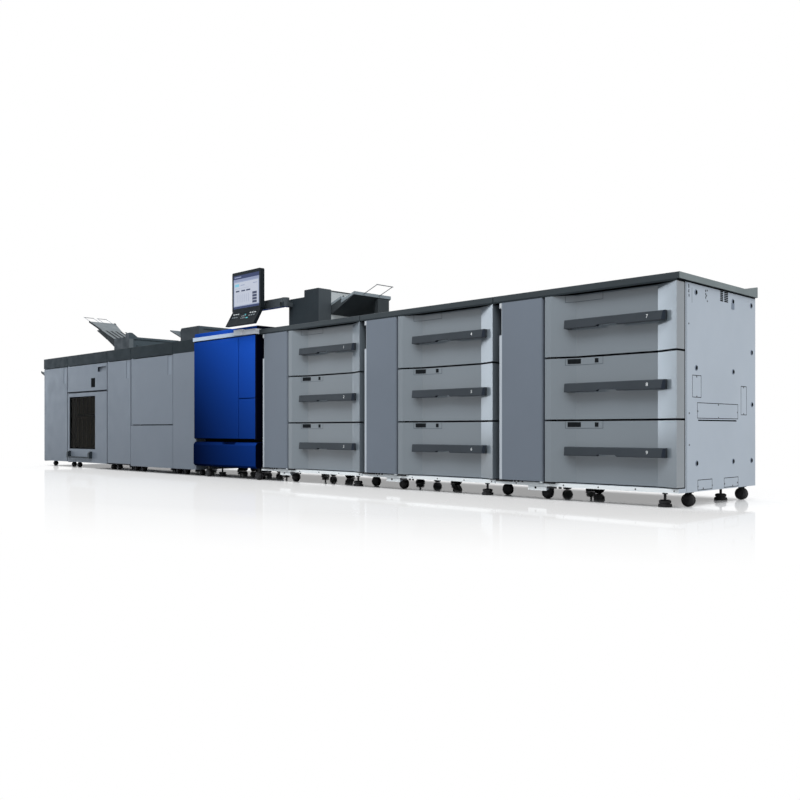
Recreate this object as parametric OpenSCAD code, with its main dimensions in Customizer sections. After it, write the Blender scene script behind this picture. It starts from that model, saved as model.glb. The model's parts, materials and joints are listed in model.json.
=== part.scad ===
// Digital production press: a row of units on one floor line.
// Row frame: X runs along the row to the right, Y runs to the back, Z is up and 0 on the floor.
// Inside in_row() X is 0 at the left side of the first cabinet and Y is 0 at the cabinet fronts.

/* [Row] */
// Depth of every cabinet, from its front sheet to its back
body_d = 724; // [600:1:900]
// How far doors and drawer fronts stand in front of the cabinets
front_relief = 78; // [60:1:110]
// Height of the cabinets' underside above the floor
case_z = 66; // [58:1:90]
// Height of the worktops' upper face
worktop_z = 1013; // [900:1:1100]
// Gap between two units of the finishing group
unit_gap = 4; // [2:0.5:10]
// Thickness of a door's moulded skin
skin = 4; // [3:0.5:6]
// Gap between a closed door and the cabinet behind it
door_back_gap = 8; // [7:0.5:12]
// How far a door's sides stand inside its cabinet's sides
door_inset = 1.3; // [1.2:0.1:3]

/* [Paper feeders] */
// Width of a paper feeder
feeder_w = 996; // [900:1:1200]
// Gap between two feeders
feeder_gap = 5.5; // [3:0.5:12]
// Thickness of a worktop slab
worktop_t = 28; // [20:1:40]
// How far the last worktop reaches past the last cabinet
worktop_over = 12; // [0:1:30]
// Height of the low upstand along the worktop's rear edge
upstand_h = 23; // [10:1:40]
// Width of a drawer front
drawer_w = 679; // [600:1:720]
// Gap between two drawer fronts
drawer_gap = 9; // [7:0.5:14]
// Height of the lowest drawer's lower edge
drawer_z = 90; // [88:1:110]
// Gap between the top drawer and the worktop
drawer_top_gap = 9; // [8:0.5:16]
// Flat margin left of the hollowed face
margin_w = 35; // [20:1:60]
// Width of each slope that leads into the hollowed face
slope_w = 111; // [60:1:140]
// Depth of the hollowed face
hollow_d = 44; // [25:1:52]
// Width of the tall door
tall_door_w = 264; // [220:1:280]
// Gap between the tall door and the drawers
tall_door_gap = 16; // [12:1:24]
// Wall thickness of a feeder cabinet
case_wall = 20; // [12:1:30]
// Sheet thickness of a drawer's tray
sheet = 4; // [3:0.5:6]
// Length of a drawer's tray
tray_l = 640; // [500:1:680]
// Room on each side of a tray for its runners
runner_room = 18; // [16:1:24]

/* [Drawer handle] */
// Height of the bridge handle's bar
handle_h = 42; // [32:1:50]
// Thickness of the bar
handle_t = 20; // [14:1:24]
// Distance from the drawer's left edge to the bar
handle_left = 109; // [60:1:130]
// Distance from the bar to the drawer's right edge
handle_right = 56; // [40:1:100]
// Height of the bar's centre below the drawer's upper edge
handle_drop = 141; // [80:1:160]
// Width of the finger notch under the bar
notch_w = 110; // [60:1:200]

/* [Print engine] */
// Width of the print engine
engine_w = 770; // [700:1:900]
// Gap between the engine and the first feeder
engine_gap = 9; // [6:0.5:15]
// How far the engine's doors stand in front of the cabinets
engine_relief = 103; // [95:1:130]
// Width of the engine's wide left door
engine_left_w = 570; // [400:1:600]
// Height of the engine doors' lower edge
engine_door_z = 279; // [240:1:320]
// Height of the split between the two narrow doors
engine_split_z = 553; // [450:1:700]
// Height of the engine doors' upper edge
engine_door_top = 975; // [900:1:980]
// Height of the engine's highest cover
engine_top_z = 1040; // [1020:1:1080]

/* [Finishing group] */
// Width of the finisher
finisher_w = 510; // [450:1:650]
// Width of the stacker
stacker_w = 769; // [700:1:900]
// Width of the folder
folder_w = 409; // [350:1:500]
// Width of the punch unit
punch_w = 655; // [550:1:800]
// Width of the relay unit
relay_w = 327; // [280:1:420]
// Lower edge of the dark band of top covers
band_z = 917; // [880:1:940]
// Upper face of the dark band
band_top = 1010; // [980:1:1040]
// Height of the finishing units' lower edge
skirt_z = 46; // [40:1:54]
// Height of the seam between the stacker's cover and door
stacker_seam_z = 671; // [600:1:720]
// Height of the seam on the punch unit
punch_seam_z = 379; // [320:1:480]
// Width of the stacker's window
window_w = 508; // [400:1:560]
// Lower edge of the window
window_z = 170; // [150:1:250]
// Upper edge of the window
window_top = 635; // [560:1:640]

/* [Operator's panel] */
// Width of the screen housing
screen_w = 328; // [280:1:400]
// Height of the screen housing
screen_h = 271; // [220:1:300]
// Thickness of the screen housing
screen_t = 32; // [26:1:40]
// Height of the screen housing's lower edge
screen_z = 1143; // [1120:1:1180]
// How far the key panel's lower edge stands in front of the cabinets
key_reach = 174; // [155:1:210]
// How far the key panel leans forward under the screen
key_lean = 57; // [38:1:70]
// Radius of the swivel knuckle
knuckle_r = 26; // [22:1:32]

/* [Trays] */
// Slope of the output trays, in degrees
tray_slope = 22; // [10:1:30]
// Width of the output trays
tray_w = 260; // [220:1:330]
// How far the end tray reaches past the finisher
side_reach = 470; // [300:1:560]

/* [Hinges and feet] */
// Radius of every door's hinge pin
pin_r = 5; // [4:0.5:6]
// Distance of a hinge axis from the door's front and side
hinge_in = 12; // [10:1:16]
// Diameter of a caster's wheels
wheel_d = 58; // [50:1:62]
// Diameter of the smaller wheels behind the finishing units' low skirts
unit_wheel_d = 44; // [36:1:45]
// Diameter of a levelling foot's pad
pad_d = 60; // [40:1:80]

/* [Hidden] */
$fn = 48;

UNITS = ["finisher", "stacker", "folder", "punch", "relay"];

pin_gap = 0.08;
seat_gap = 0.4;
dock_gap = 0.3;
hinge_plate_t = 5;
feeders = 3;
drawers = 3;

// Left end of every unit
finisher_x = 0;
stacker_x = finisher_x + finisher_w + unit_gap;
folder_x = stacker_x + stacker_w + unit_gap;
punch_x = folder_x + folder_w + unit_gap;
relay_x = punch_x + punch_w + unit_gap;
engine_x = relay_x + relay_w + unit_gap;
feeder_0 = engine_x + engine_w + engine_gap;
function feeder_x(i) = feeder_0 + i * (feeder_w + feeder_gap);
row_end = feeder_x(feeders - 1) + feeder_w + worktop_over;
unit_x = [finisher_x, stacker_x, folder_x, punch_x, relay_x];
unit_w = [finisher_w, stacker_w, folder_w, punch_w, relay_w];

// Feeder, from its own left side
slab_z = worktop_z - worktop_t;
bay_x = feeder_w - drawer_w;
bay_x0 = bay_x + case_wall / 2;
bay_x1 = feeder_w - case_wall;
bay_z0 = drawer_z + 6;
bay_z1 = slab_z - case_wall / 2;
tall_door_x = bay_x - tall_door_gap - tall_door_w;
rail_z = drawer_z - hinge_plate_t - seat_gap;
door_top = slab_z - drawer_top_gap;
drawer_pitch = (door_top - drawer_z + drawer_gap) / drawers;
drawer_h = drawer_pitch - drawer_gap;
tray_x0 = bay_x0 + runner_room;
tray_x1 = bay_x1 - runner_room;
slide_w = runner_room - 5;
runner_w = runner_room - 6;
slide_t = 8;
slide_z = drawer_h / 2;
tray_base = 14;
tray_wall_h = drawer_h - 60;

// Punch unit, finisher and folder doors
panel_z = skirt_z + hinge_plate_t + seat_gap;
panel_top = band_z - hinge_plate_t - seat_gap - 1;

module in_row() {
    translate([(side_reach - row_end) / 2, (key_reach - body_d) / 2, 0]) children();
}

// ---- Shared forms ----------------------------------------------------------

// A box given by its lowest and highest corner
module block(a, b) {
    translate(a) cube([b[0] - a[0], b[1] - a[1], b[2] - a[2]]);
}

// Extrudes a Y-Z outline along X, from x0 over length l
module along_x(x0, l) {
    translate([x0, 0, 0]) rotate([90, 0, 90]) linear_extrude(l) children();
}

// Extrudes an X-Z outline along Y, from y0 over length l
module along_y(y0, l) {
    translate([0, y0 + l, 0]) rotate([90, 0, 0]) linear_extrude(l) children();
}

// Outline of a plate with round corners of radius r, from (0, 0) to (w, h)
module round_rect(w, h, r) {
    union() {
        translate([r, 0]) square([w - 2 * r, h]);
        translate([0, r]) square([w, h - 2 * r]);
        for (x = [r, w - r], y = [r, h - r]) translate([x, y]) circle(r);
    }
}

// Plan outline of a moulded door about its hinge axis, its free side at distance l. The hinge
// edge is round about the axis, and the free side leans in towards the back, so that no corner
// of a swinging door reaches past the circle of its front edge. inset is a wall's thickness.
module door_plan(l, relief, inset = 0) {
    back = relief - hinge_in - door_back_gap;
    free_back = sqrt(l * l + hinge_in * hinge_in - back * back) - inset;
    end = back + (inset > 0 ? 1 : 0);
    side = hinge_in - inset;
    circle(side);
    polygon([[0, -side], [l - inset, -side], [free_back, end], [-side, end], [-side, 0]]);
}

// Mirrors its children for a door that is hinged on its right
module hand(hinge) {
    if (hinge == "right") mirror([1, 0, 0]) children();
    else children();
}

// A moulded door, hollow at the back, with ribs and a hinge stile on one side.
// x0 is its left side, z0 to z1 its height, relief how far its face stands out.
module pan_door(x0, w, z0, z1, relief, hinge = "left", ribs = 2) {
    l = w - hinge_in;
    socket_l = hinge_plate_t * 4;
    translate([hinge_x(x0, w, hinge), -relief + hinge_in, z0]) hand(hinge) difference() {
        union() {
            difference() {
                linear_extrude(z1 - z0) door_plan(l, relief);
                translate([0, 0, skin]) linear_extrude(z1 - z0 - 2 * skin) door_plan(l, relief, skin);
            }
            translate([0, 0, skin / 2]) linear_extrude(z1 - z0 - skin) hinge_stile();
            for (i = [1:ribs]) translate([0, 0, (z1 - z0) * i / (ribs + 1)])
                linear_extrude(skin) intersection() {
                    door_plan(l, relief, skin / 2);
                    translate([-hinge_in, -hinge_in]) square([w, (relief - door_back_gap) / 2]);
                }
        }
        for (z = [-1, z1 - z0 - socket_l])
            translate([0, 0, z]) cylinder(r = pin_r + pin_gap, h = socket_l + 1);
    }
}

// Plan outline of the solid stile round a door's hinge axis
module hinge_stile() {
    circle(hinge_in);
    translate([0, -hinge_in]) square([hinge_in, 2 * hinge_in]);
    translate([-hinge_in, 0]) square([2 * hinge_in, hinge_in]);
}

function hinge_x(x0, w, hinge) = hinge == "left" ? x0 + hinge_in : x0 + w - hinge_in;

// Hinge plate on the cabinet front, its seat at height z, with a pin that points up or down
module hinge_plate(x, z, relief, up = true, down = false) {
    reach = relief - hinge_in;
    pin_l = hinge_plate_t * 3;
    plate_r = hinge_in - 2;
    z0 = up ? z - hinge_plate_t : z;
    block([x - plate_r, -reach, z0], [x + plate_r, 1, z0 + hinge_plate_t]);
    translate([x, -reach, z0]) {
        cylinder(r = plate_r, h = hinge_plate_t);
        if (up) cylinder(r = pin_r, h = hinge_plate_t + pin_l);
        if (down) translate([0, 0, -pin_l]) cylinder(r = pin_r, h = pin_l + hinge_plate_t);
    }
}

// The two hinge plates of a door between z0 and z1
module hinge_pair(x0, w, z0, z1, relief, hinge = "left") {
    hinge_plate(hinge_x(x0, w, hinge), z0 - seat_gap, relief);
    hinge_plate(hinge_x(x0, w, hinge), z1 + seat_gap, relief, up = false, down = true);
}

// Docking plates low and high on a cabinet's right side x, which bear on the next cabinet
module dock_plates(x, gap) {
    for (z = [160, 700]) block([x - 1, 300, z], [x + gap - dock_gap, 440, z + 90]);
}

// ---- Paper feeders ---------------------------------------------------------

module feeder_cabinet(i) {
    color("lightsteelblue") in_row() translate([feeder_x(i), 0, 0]) {
        difference() {
            block([0, 0, case_z], [feeder_w, body_d, slab_z]);
            block([bay_x0, -1, bay_z0], [bay_x1, body_d - case_wall, bay_z1]);
            if (i == feeders - 1) translate([feeder_w, 0, 0]) side_details();
        }
        // base rail under the drawers, and the plate that stiffens it at its middle caster
        block([0, -front_relief + 18, case_z], [feeder_w, 0.5, rail_z]);
        block([bay_x - 116, -front_relief + 22, case_z - 22], [bay_x - 7, 0.5, case_z + 0.5]);
        hinge_pair(tall_door_x, tall_door_w, drawer_z, door_top, front_relief, "right");
        for (d = [0:drawers - 1]) runners(drawer_z + d * drawer_pitch);
        if (i < feeders - 1) dock_plates(feeder_w, feeder_gap);
    }
}

// Vent slots and the grooves round the cover plates on the row's right end, where X is 0
module side_details() {
    for (y = [[341, 24], [382, 34]], k = [0:5])
        block([-6, y[0], 932 + k * 8.4], [1, y[0] + y[1], 936 + k * 8.4]);
    // each plate: Y, Z, width, height
    for (p = [[64, 481, 85, 99], [559, 409, 65, 139], [110, 389, 417, 71],
            [114, case_z + 5, 143, 47], [377, case_z + 5, 154, 46]])
        difference() {
            block([-2, p[0], p[1]], [1, p[0] + p[2], p[1] + p[3]]);
            block([-3, p[0] + 3, p[1] + 3], [2, p[0] + p[2] - 3, p[1] + p[3] - 3]);
        }
    block([-8, 118, 378], [1, 511, 384]);
}

// The pair of fixed runners that carries one drawer whose front starts at height z
module runners(z) {
    z1 = z + slide_z - seat_gap;
    for (x = [bay_x0 - 0.5, bay_x1 - runner_w])
        block([x, 10, z1 - 14], [x + runner_w + 0.5, body_d - case_wall - 20, z1]);
}

// Plan outline of a drawer front: flat margin, slope, hollowed face, slope up to the right edge.
// inset moves the face back by a wall's thickness.
module front_outline(inset = 0) {
    face = -front_relief + inset;
    floor_y = face + hollow_d;
    polygon([[inset, -door_back_gap + (inset > 0 ? 1 : 0)], [inset, face], [margin_w, face],
        [margin_w + slope_w, floor_y], [drawer_w - slope_w, floor_y],
        [drawer_w - inset, face + slope_rise(inset)],
        [drawer_w - inset, -door_back_gap + (inset > 0 ? 1 : 0)]]);
}
function slope_rise(x) = x * hollow_d / slope_w;

module drawer(i, d) {
    z = drawer_z + (drawers - 1 - d) * drawer_pitch;
    back = -door_back_gap;
    color("slategray") in_row() translate([feeder_x(i), 0, z]) {
        translate([bay_x, 0, 0]) difference() {
            linear_extrude(drawer_h) front_outline();
            // both ends of the front are hollow at the back
            translate([0, 0, skin]) linear_extrude(drawer_h - 2 * skin) difference() {
                front_outline(skin);
                translate([margin_w + slope_w, -front_relief])
                    square([drawer_w - margin_w - 2 * slope_w, front_relief]);
            }
        }
        tray();
    }
}

// The open sheet tray behind a front, with its slides, side guides and lift plate
module tray() {
    back = -door_back_gap - 1;
    difference() {
        block([tray_x0, back, tray_base], [tray_x1, tray_l, tray_base + tray_wall_h]);
        block([tray_x0 + sheet, 0, tray_base + sheet],
            [tray_x1 - sheet, tray_l - sheet, tray_base + tray_wall_h + 1]);
    }
    for (x = [tray_x0 - slide_w, tray_x1 - 0.5])
        block([x, 10, slide_z], [x + slide_w + 0.5, tray_l - 20, slide_z + slide_t]);
}

module drawer_handle(i, d) {
    z = drawer_z + (drawers - 1 - d) * drawer_pitch + drawer_h - handle_drop - handle_h / 2;
    face = -front_relief - 2;
    x1 = drawer_w - handle_right;
    color("dimgray") in_row() translate([feeder_x(i) + bay_x, 0, z]) difference() {
        along_x(handle_left, x1 - handle_left) handle_section(face);
        // room for the fingers between the bar and the hollowed face
        block([handle_left + 18, face + handle_t, -1], [x1 - 18, 0, handle_h + 1]);
        translate([0, 0, -1]) linear_extrude(handle_h + 2) front_outline();
        // the bar's right end leans back
        translate([0, 0, -1]) linear_extrude(handle_h + 2)
            polygon([[x1 - 16, face - 1], [x1 + 1, face - 1], [x1 + 1, face + 8], [x1 - 14, face + 1]]);
        // notch under the middle of the bar
        translate([(handle_left + x1) / 2 - 30, 0, 0]) along_y(face - 1, handle_t + 2)
            polygon([[-notch_w / 2, -1], [-notch_w / 2 + 10, 8], [notch_w / 2 - 10, 8], [notch_w / 2, -1]]);
    }
}

// Y-Z section of the bar: a face that leans back a little towards its upper edge
module handle_section(face) {
    root = -front_relief + hollow_d;
    polygon([[face + 1, 0], [face, 3], [face + 3, handle_h - 3], [face + 6, handle_h],
        [root, handle_h], [root, 0]]);
}

module feeder_door(i) {
    strip = 18;
    grip_d = 14;
    grip_h = 136;
    grip_z = door_top - 26 - grip_h;
    color("gray") in_row() translate([feeder_x(i) + tall_door_x, -front_relief, 0]) difference() {
        union() {
            translate([-tall_door_x, front_relief, 0])
                pan_door(tall_door_x, tall_door_w, drawer_z, door_top, front_relief, "right", 3);
            // solid behind the grip
            block([skin / 2, skin / 2, grip_z - skin], [strip, grip_d + skin, grip_z + grip_h + skin]);
        }
        // the pull strip along the left edge is set back, and deeper where the fingers go
        block([-1, -1, drawer_z - 1], [strip, skin / 2, door_top + 1]);
        block([-1, -1, grip_z], [strip - 4, grip_d, grip_z + grip_h]);
    }
}

upstand_y = body_d - 125;

module worktops() {
    color("darkslategray") in_row() for (i = [0:feeders - 1])
        translate([feeder_x(i), 0, 0]) {
            x1 = feeder_w + (i == feeders - 1 ? worktop_over : 0);
            along_x(0, x1) polygon([[-front_relief, slab_z], [-front_relief, worktop_z - 2],
                [-front_relief + 2, worktop_z], [upstand_y, worktop_z],
                [body_d - 10, worktop_z + upstand_h], [body_d, worktop_z + upstand_h],
                [body_d, slab_z]]);
        }
}

// ---- Print engine ----------------------------------------------------------

engine_gap_x = 6;
engine_left_x = engine_x + door_inset;
engine_right_x = engine_x + engine_left_w + engine_gap_x;
engine_right_w = engine_w - engine_left_w - engine_gap_x - door_inset;
engine_lower_top = engine_split_z - hinge_plate_t / 2 - seat_gap;
engine_upper_z = engine_split_z + hinge_plate_t / 2 + seat_gap;

module engine_cabinet() {
    color("midnightblue") in_row() {
        block([engine_x, 0, case_z + 13], [engine_x + engine_w, body_d, engine_door_top + 8]);
        hinge_pair(engine_left_x, engine_left_w - door_inset, engine_door_z, engine_door_top, engine_relief);
        dock_plates(engine_x + engine_w, engine_gap);
        hinge_plate(hinge_x(engine_right_x, engine_right_w, "right"), engine_door_z - seat_gap,
            engine_relief);
        hinge_plate(hinge_x(engine_right_x, engine_right_w, "right"),
            engine_split_z + hinge_plate_t / 2, engine_relief, up = true, down = true);
        hinge_plate(hinge_x(engine_right_x, engine_right_w, "right"), engine_door_top + seat_gap,
            engine_relief, up = false, down = true);
    }
}

module engine_left_door() {
    color("mediumblue") in_row()
        pan_door(engine_left_x, engine_left_w - door_inset, engine_door_z, engine_door_top,
            engine_relief, "left", 3);
}

module engine_upper_door() {
    color("mediumblue") in_row()
        pan_door(engine_right_x, engine_right_w, engine_upper_z, engine_door_top, engine_relief, "right");
}

module engine_lower_door() {
    color("mediumblue") in_row()
        pan_door(engine_right_x, engine_right_w, engine_door_z, engine_lower_top, engine_relief, "right");
}

// Fixed panel under the doors, with a ledge that slopes down to the front
module engine_base_panel() {
    z0 = case_z + 13;
    z1 = engine_door_z - 25;
    color("navy") in_row() difference() {
        along_x(engine_x, engine_w)
            polygon([[0, z0], [-engine_relief + 14, z0], [-engine_relief, z0 + 14],
                [-engine_relief, z1 - 22], [-engine_relief + 12, z1 - 2], [0, z1]]);
        // hand-hold in the ledge
        along_y(-engine_relief - 1, 46) polygon([[engine_x + 356, z1 + 1], [engine_x + 366, z1 - 17],
            [engine_x + 516, z1 - 17], [engine_x + 526, z1 + 1]]);
    }
}

trim_z = engine_door_top + 8;
trim_top = trim_z + 26;
trim_block_x = engine_x + engine_w - 241;
trim_block_w = 104;

// Bright bar across the top of the engine, with a raised block and a higher part on its right
module engine_trim() {
    face = -engine_relief - 5;
    color("silver") in_row() {
        block([engine_x, face, trim_z], [engine_x + engine_w, 0, trim_top]);
        block([trim_block_x, face - 5, trim_z + 5], [trim_block_x + trim_block_w, 0, trim_top + 15]);
        block([trim_block_x + trim_block_w - 1, face, trim_top - 1], [engine_x + engine_w, 0, trim_top + 9]);
    }
}

module engine_top_cover() {
    color("darkblue") in_row() difference() {
        along_x(engine_x, engine_w) polygon([[-engine_relief + 8, trim_top],
            [-engine_relief + 12, engine_top_z - 4], [-engine_relief + 18, engine_top_z],
            [body_d, engine_top_z], [body_d, trim_z], [0, trim_z], [0, trim_top]]);
        // seats of the trim's raised parts
        block([trim_block_x, -engine_relief - 1, trim_top - 1],
            [trim_block_x + trim_block_w, 0, trim_top + 15]);
        block([trim_block_x + trim_block_w - 1, -engine_relief - 1, trim_top - 1],
            [engine_x + engine_w + 1, 0, trim_top + 9]);
    }
}

// ---- Operator's panel ------------------------------------------------------

screen_x = engine_x + engine_w - 252;
screen_back = -key_reach + key_lean + screen_t;
screen_top = screen_z + screen_h;
swivel_x = feeder_0 + 199;
swivel_y = -12;
arm_z0 = 1152;
arm_h = 58;
arm_half_t = 20;
tilt_x = screen_x + screen_w / 2;
tilt_y = screen_back + 24;
tilt_z = arm_z0 + arm_h / 2;
pedestal_x = feeder_0 + 179;
pedestal_y = 33;
pedestal_d = 105;
pillar_x = pedestal_x + 161;
pillar_w = 146;
pillar_top = worktop_z + 236;

module panel_pedestal() {
    color("dimgray") in_row() {
        along_y(pedestal_y, pedestal_d) polygon([[pedestal_x, worktop_z], [pedestal_x, arm_z0 + 46],
            [pedestal_x + 8, arm_z0 + 52], [pillar_x, arm_z0 + 52], [pillar_x, pillar_top - 4],
            [pillar_x + 4, pillar_top], [pillar_x + pillar_w - 3, pillar_top],
            [pillar_x + pillar_w, pillar_top - 3], [pillar_x + pillar_w, worktop_z]]);
        // lower half of the swivel knuckle, with its pin
        translate([swivel_x, swivel_y, arm_z0]) {
            cylinder(r = knuckle_r, h = arm_h / 2 - seat_gap / 2);
            cylinder(r = 8, h = arm_h - 4);
        }
        block([swivel_x - knuckle_r + 4, swivel_y, arm_z0],
            [swivel_x + knuckle_r - 4, pedestal_y + 1, arm_z0 + arm_h / 2 - seat_gap / 2]);
    }
}

module panel_arm() {
    z1 = arm_z0 + arm_h / 2 + seat_gap / 2;
    ear_x = tilt_x + 34;
    color("dimgray") in_row() difference() {
        union() {
            translate([swivel_x, swivel_y, z1]) cylinder(r = knuckle_r, h = arm_h / 2 - seat_gap / 2);
            block([swivel_x - knuckle_r - 30, swivel_y - arm_half_t, z1],
                [swivel_x, swivel_y + arm_half_t, arm_z0 + arm_h]);
            block([ear_x - 68, swivel_y - arm_half_t, arm_z0],
                [swivel_x - knuckle_r - 8, swivel_y + arm_half_t, arm_z0 + arm_h]);
            // two ears that hold the screen's tilt pin
            for (x = [ear_x - 68, ear_x - 14]) along_x(x, 14) {
                translate([tilt_y, tilt_z]) circle(16);
                translate([tilt_y, tilt_z - 16]) square([swivel_y - arm_half_t - tilt_y + 1, 32]);
            }
        }
        translate([swivel_x, swivel_y, z1 - 1]) cylinder(r = 8 + pin_gap, h = arm_h / 2 - 3);
        along_x(ear_x - 69, 70) translate([tilt_y, tilt_z]) circle(6 + pin_gap);
    }
}

module screen_housing() {
    face = screen_back - screen_t;
    color("dimgray") in_row() {
        difference() {
            along_y(face, screen_t) translate([screen_x, screen_z]) round_rect(screen_w, screen_h, 10);
            block([screen_x + 16, face - 1, screen_z + 22],
                [screen_x + screen_w - 16, face + 5, screen_top - 22]);
        }
        // boss and pin of the tilt hinge
        difference() {
            along_x(tilt_x - 19, 38) {
                translate([tilt_y, tilt_z]) circle(16);
                translate([screen_back - 1, tilt_z - 16]) square([tilt_y - screen_back + 1, 32]);
            }
            block([tilt_x - 20, face, screen_z], [tilt_x + 20, screen_back - 1, screen_top]);
        }
        along_x(tilt_x - 34, 68) translate([tilt_y, tilt_z]) circle(6);
    }
}

module screen_glass() {
    face = screen_back - screen_t;
    color("lightblue") in_row()
        block([screen_x + 16.3, face + 1, screen_z + 22.3],
            [screen_x + screen_w - 16.3, face + 5, screen_top - 22.3]);
}

// Key panel: a plate that leans forward under the screen, with the keys in a shallow tray
module key_panel() {
    low = screen_z - 102;
    face = screen_back - screen_t;
    x0 = screen_x + 2;
    x1 = screen_x + screen_w - 2;
    color("dimgray") in_row() difference() {
        along_x(x0, x1 - x0)
            polygon([[face, screen_z], [-key_reach, low + 3], [-key_reach + 3, low],
                [-key_reach + 26, low], [face + 24, screen_z]]);
        along_x(x0 + 14, x1 - x0 - 28)
            polygon([[face - 1 - key_lean * 0.1, screen_z - 10], [-key_reach - 1 + key_lean * 0.14, low + 14],
                [-key_reach + 3 + key_lean * 0.14, low + 14], [face + 3 - key_lean * 0.1, screen_z - 10]]);
    }
}

// ---- Manual feed -----------------------------------------------------------

manual_x = pillar_x + pillar_w - 6;
manual_y = pedestal_y + pedestal_d;
feed_rise = tray_slope - 2;
feed_x0 = manual_x;
feed_l = 226;
feed_y0 = manual_y + 4;
feed_y1 = feed_y0 + 323;
feed_z0 = worktop_z + 104;

module manual_feed_unit() {
    color("lightgray") in_row()
        block([pillar_x, manual_y, worktop_z], [manual_x, upstand_y, worktop_z + 225]);
}

// Sloped tray on the right of the feed unit, with side lips and a support under its high end
module manual_feed_tray() {
    rise = tan(feed_rise);
    color("gray") in_row() {
        along_y(feed_y0, feed_y1 - feed_y0) polygon([[feed_x0, feed_z0 - 30], [feed_x0, feed_z0 + 16],
            [feed_x0 + feed_l, feed_z0 + 16 + feed_l * rise], [feed_x0 + feed_l, feed_z0 - 4 + feed_l * rise]]);
        // the raised first stage, and low side guides beyond it
        along_y(feed_y0, 250) polygon([[feed_x0, feed_z0 + 15], [feed_x0, feed_z0 + 44],
            [feed_x0 + feed_l * 0.42, feed_z0 + 44 + feed_l * 0.42 * rise],
            [feed_x0 + feed_l * 0.42 + 12, feed_z0 + 15 + feed_l * 0.42 * rise]]);
        for (y = [feed_y0 + 40, feed_y1 - 50]) along_y(y, 10)
            polygon([[feed_x0, feed_z0 + 15], [feed_x0, feed_z0 + 30],
                [feed_x0 + feed_l * 0.6, feed_z0 + 30 + feed_l * 0.6 * rise],
                [feed_x0 + feed_l * 0.7, feed_z0 + 15 + feed_l * 0.7 * rise]]);
        block([feed_x0 + feed_l - 34, feed_y1 - 115, worktop_z],
            [feed_x0 + feed_l - 2, feed_y1 - 15, feed_z0 + (feed_l - 34) * rise + 4]);
    }
}

// ---- Finishing group -------------------------------------------------------

strip_w = 55;
strip_h = 142;

// A closed housing on a low skirt that is open below, where the casters are
module plain_cabinet(x, w) {
    skirt_t = 10;
    difference() {
        block([x, 0, skirt_z], [x + w, body_d, band_top - 20]);
        block([x + skirt_t, skirt_t, skirt_z - 1], [x + w - skirt_t, body_d - skirt_t, case_z]);
    }
    dock_plates(x + w, unit_gap);
}

function door_w(w) = w - 2 * door_inset;

// A door with the shallow pull strip near its right edge
module strip_door(x, w, z0, z1) {
    difference() {
        pan_door(x + door_inset, door_w(w), z0, z1, front_relief, "left", 3);
        block([x + w - strip_w - 18, -front_relief - 1, z1 - 6 - strip_h],
            [x + w - 18, -front_relief + 2.5, z1 - 6]);
    }
}

module finisher_cabinet() {
    color("lightsteelblue") in_row() {
        plain_cabinet(finisher_x, finisher_w);
        hinge_pair(finisher_x + door_inset, door_w(finisher_w), panel_z, panel_top, front_relief);
    }
}

module finisher_door() {
    color("slategray") in_row() strip_door(finisher_x, finisher_w, panel_z, panel_top);
}

window_x = stacker_x + 43;
stacker_bay = [window_x - 20, window_x + window_w + 150];
stacker_door_top = stacker_seam_z - hinge_plate_t / 2 - seat_gap;
stacker_cover_z = stacker_seam_z + hinge_plate_t / 2 + seat_gap;
platform_z = 462;
platform_t = 24;

module stacker_cabinet() {
    hx = hinge_x(stacker_x + door_inset, door_w(stacker_w), "left");
    color("lightsteelblue") in_row() {
        difference() {
            plain_cabinet(stacker_x, stacker_w);
            block([stacker_bay[0], -1, window_z - 60],
                [stacker_bay[1], body_d - case_wall, window_top + 20]);
        }
        hinge_plate(hx, panel_z - seat_gap, front_relief);
        hinge_plate(hx, stacker_seam_z + hinge_plate_t / 2, front_relief, up = true, down = true);
        hinge_plate(hx, panel_top + seat_gap, front_relief, up = false, down = true);
        // ledges that carry the stacking platform
        for (x = [stacker_bay[0] - 0.5, stacker_bay[1] - 16])
            block([x, 40, platform_z - 20], [x + 16.5, body_d - case_wall - 40, platform_z]);
    }
}

module stacking_platform() {
    color("darkgray") in_row()
        block([stacker_bay[0] + 6, 60, platform_z],
            [stacker_bay[1] - 6, body_d - case_wall - 60, platform_z + platform_t]);
}

module stacker_cover() {
    gx = stacker_x + stacker_w - 168;
    color("slategray") in_row() difference() {
        union() {
            pan_door(stacker_x + door_inset, door_w(stacker_w), stacker_cover_z, panel_top,
                front_relief, "left", 1);
            block([gx - skin, -front_relief + skin / 2, 840 - skin],
                [gx + 155 + skin, -front_relief + 20, 881 + skin]);
        }
        // recessed grip
        block([gx, -front_relief - 1, 840], [gx + 155, -front_relief + 20 - skin, 881]);
        // pocket of the sensor window
        block([stacker_x + 475, -front_relief - 1, 710], [stacker_x + 551, -front_relief + 2, 790]);
    }
}

module stacker_door() {
    color("slategray") in_row() difference() {
        union() {
            pan_door(stacker_x + door_inset, door_w(stacker_w), panel_z, stacker_door_top,
                front_relief, "left", 1);
            along_y(-front_relief + 1, front_relief - door_back_gap - 12)
                translate([window_x - 14, window_z - 14])
                square([window_w + 28, window_top - window_z + 28]);
        }
        block([window_x, -front_relief - 2, window_z], [window_x + window_w, 0, window_top]);
        block([window_x - 4, -front_relief + 10, window_z - 4],
            [window_x + window_w + 4, -front_relief + 15, window_top + 4]);
    }
}

module stacker_window() {
    color([0.1, 0.1, 0.1, 0.6]) in_row()
        block([window_x - 3.7, -front_relief + 10.3, window_z - 3.7],
            [window_x + window_w + 3.7, -front_relief + 14.7, window_top + 3.7]);
}

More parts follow.
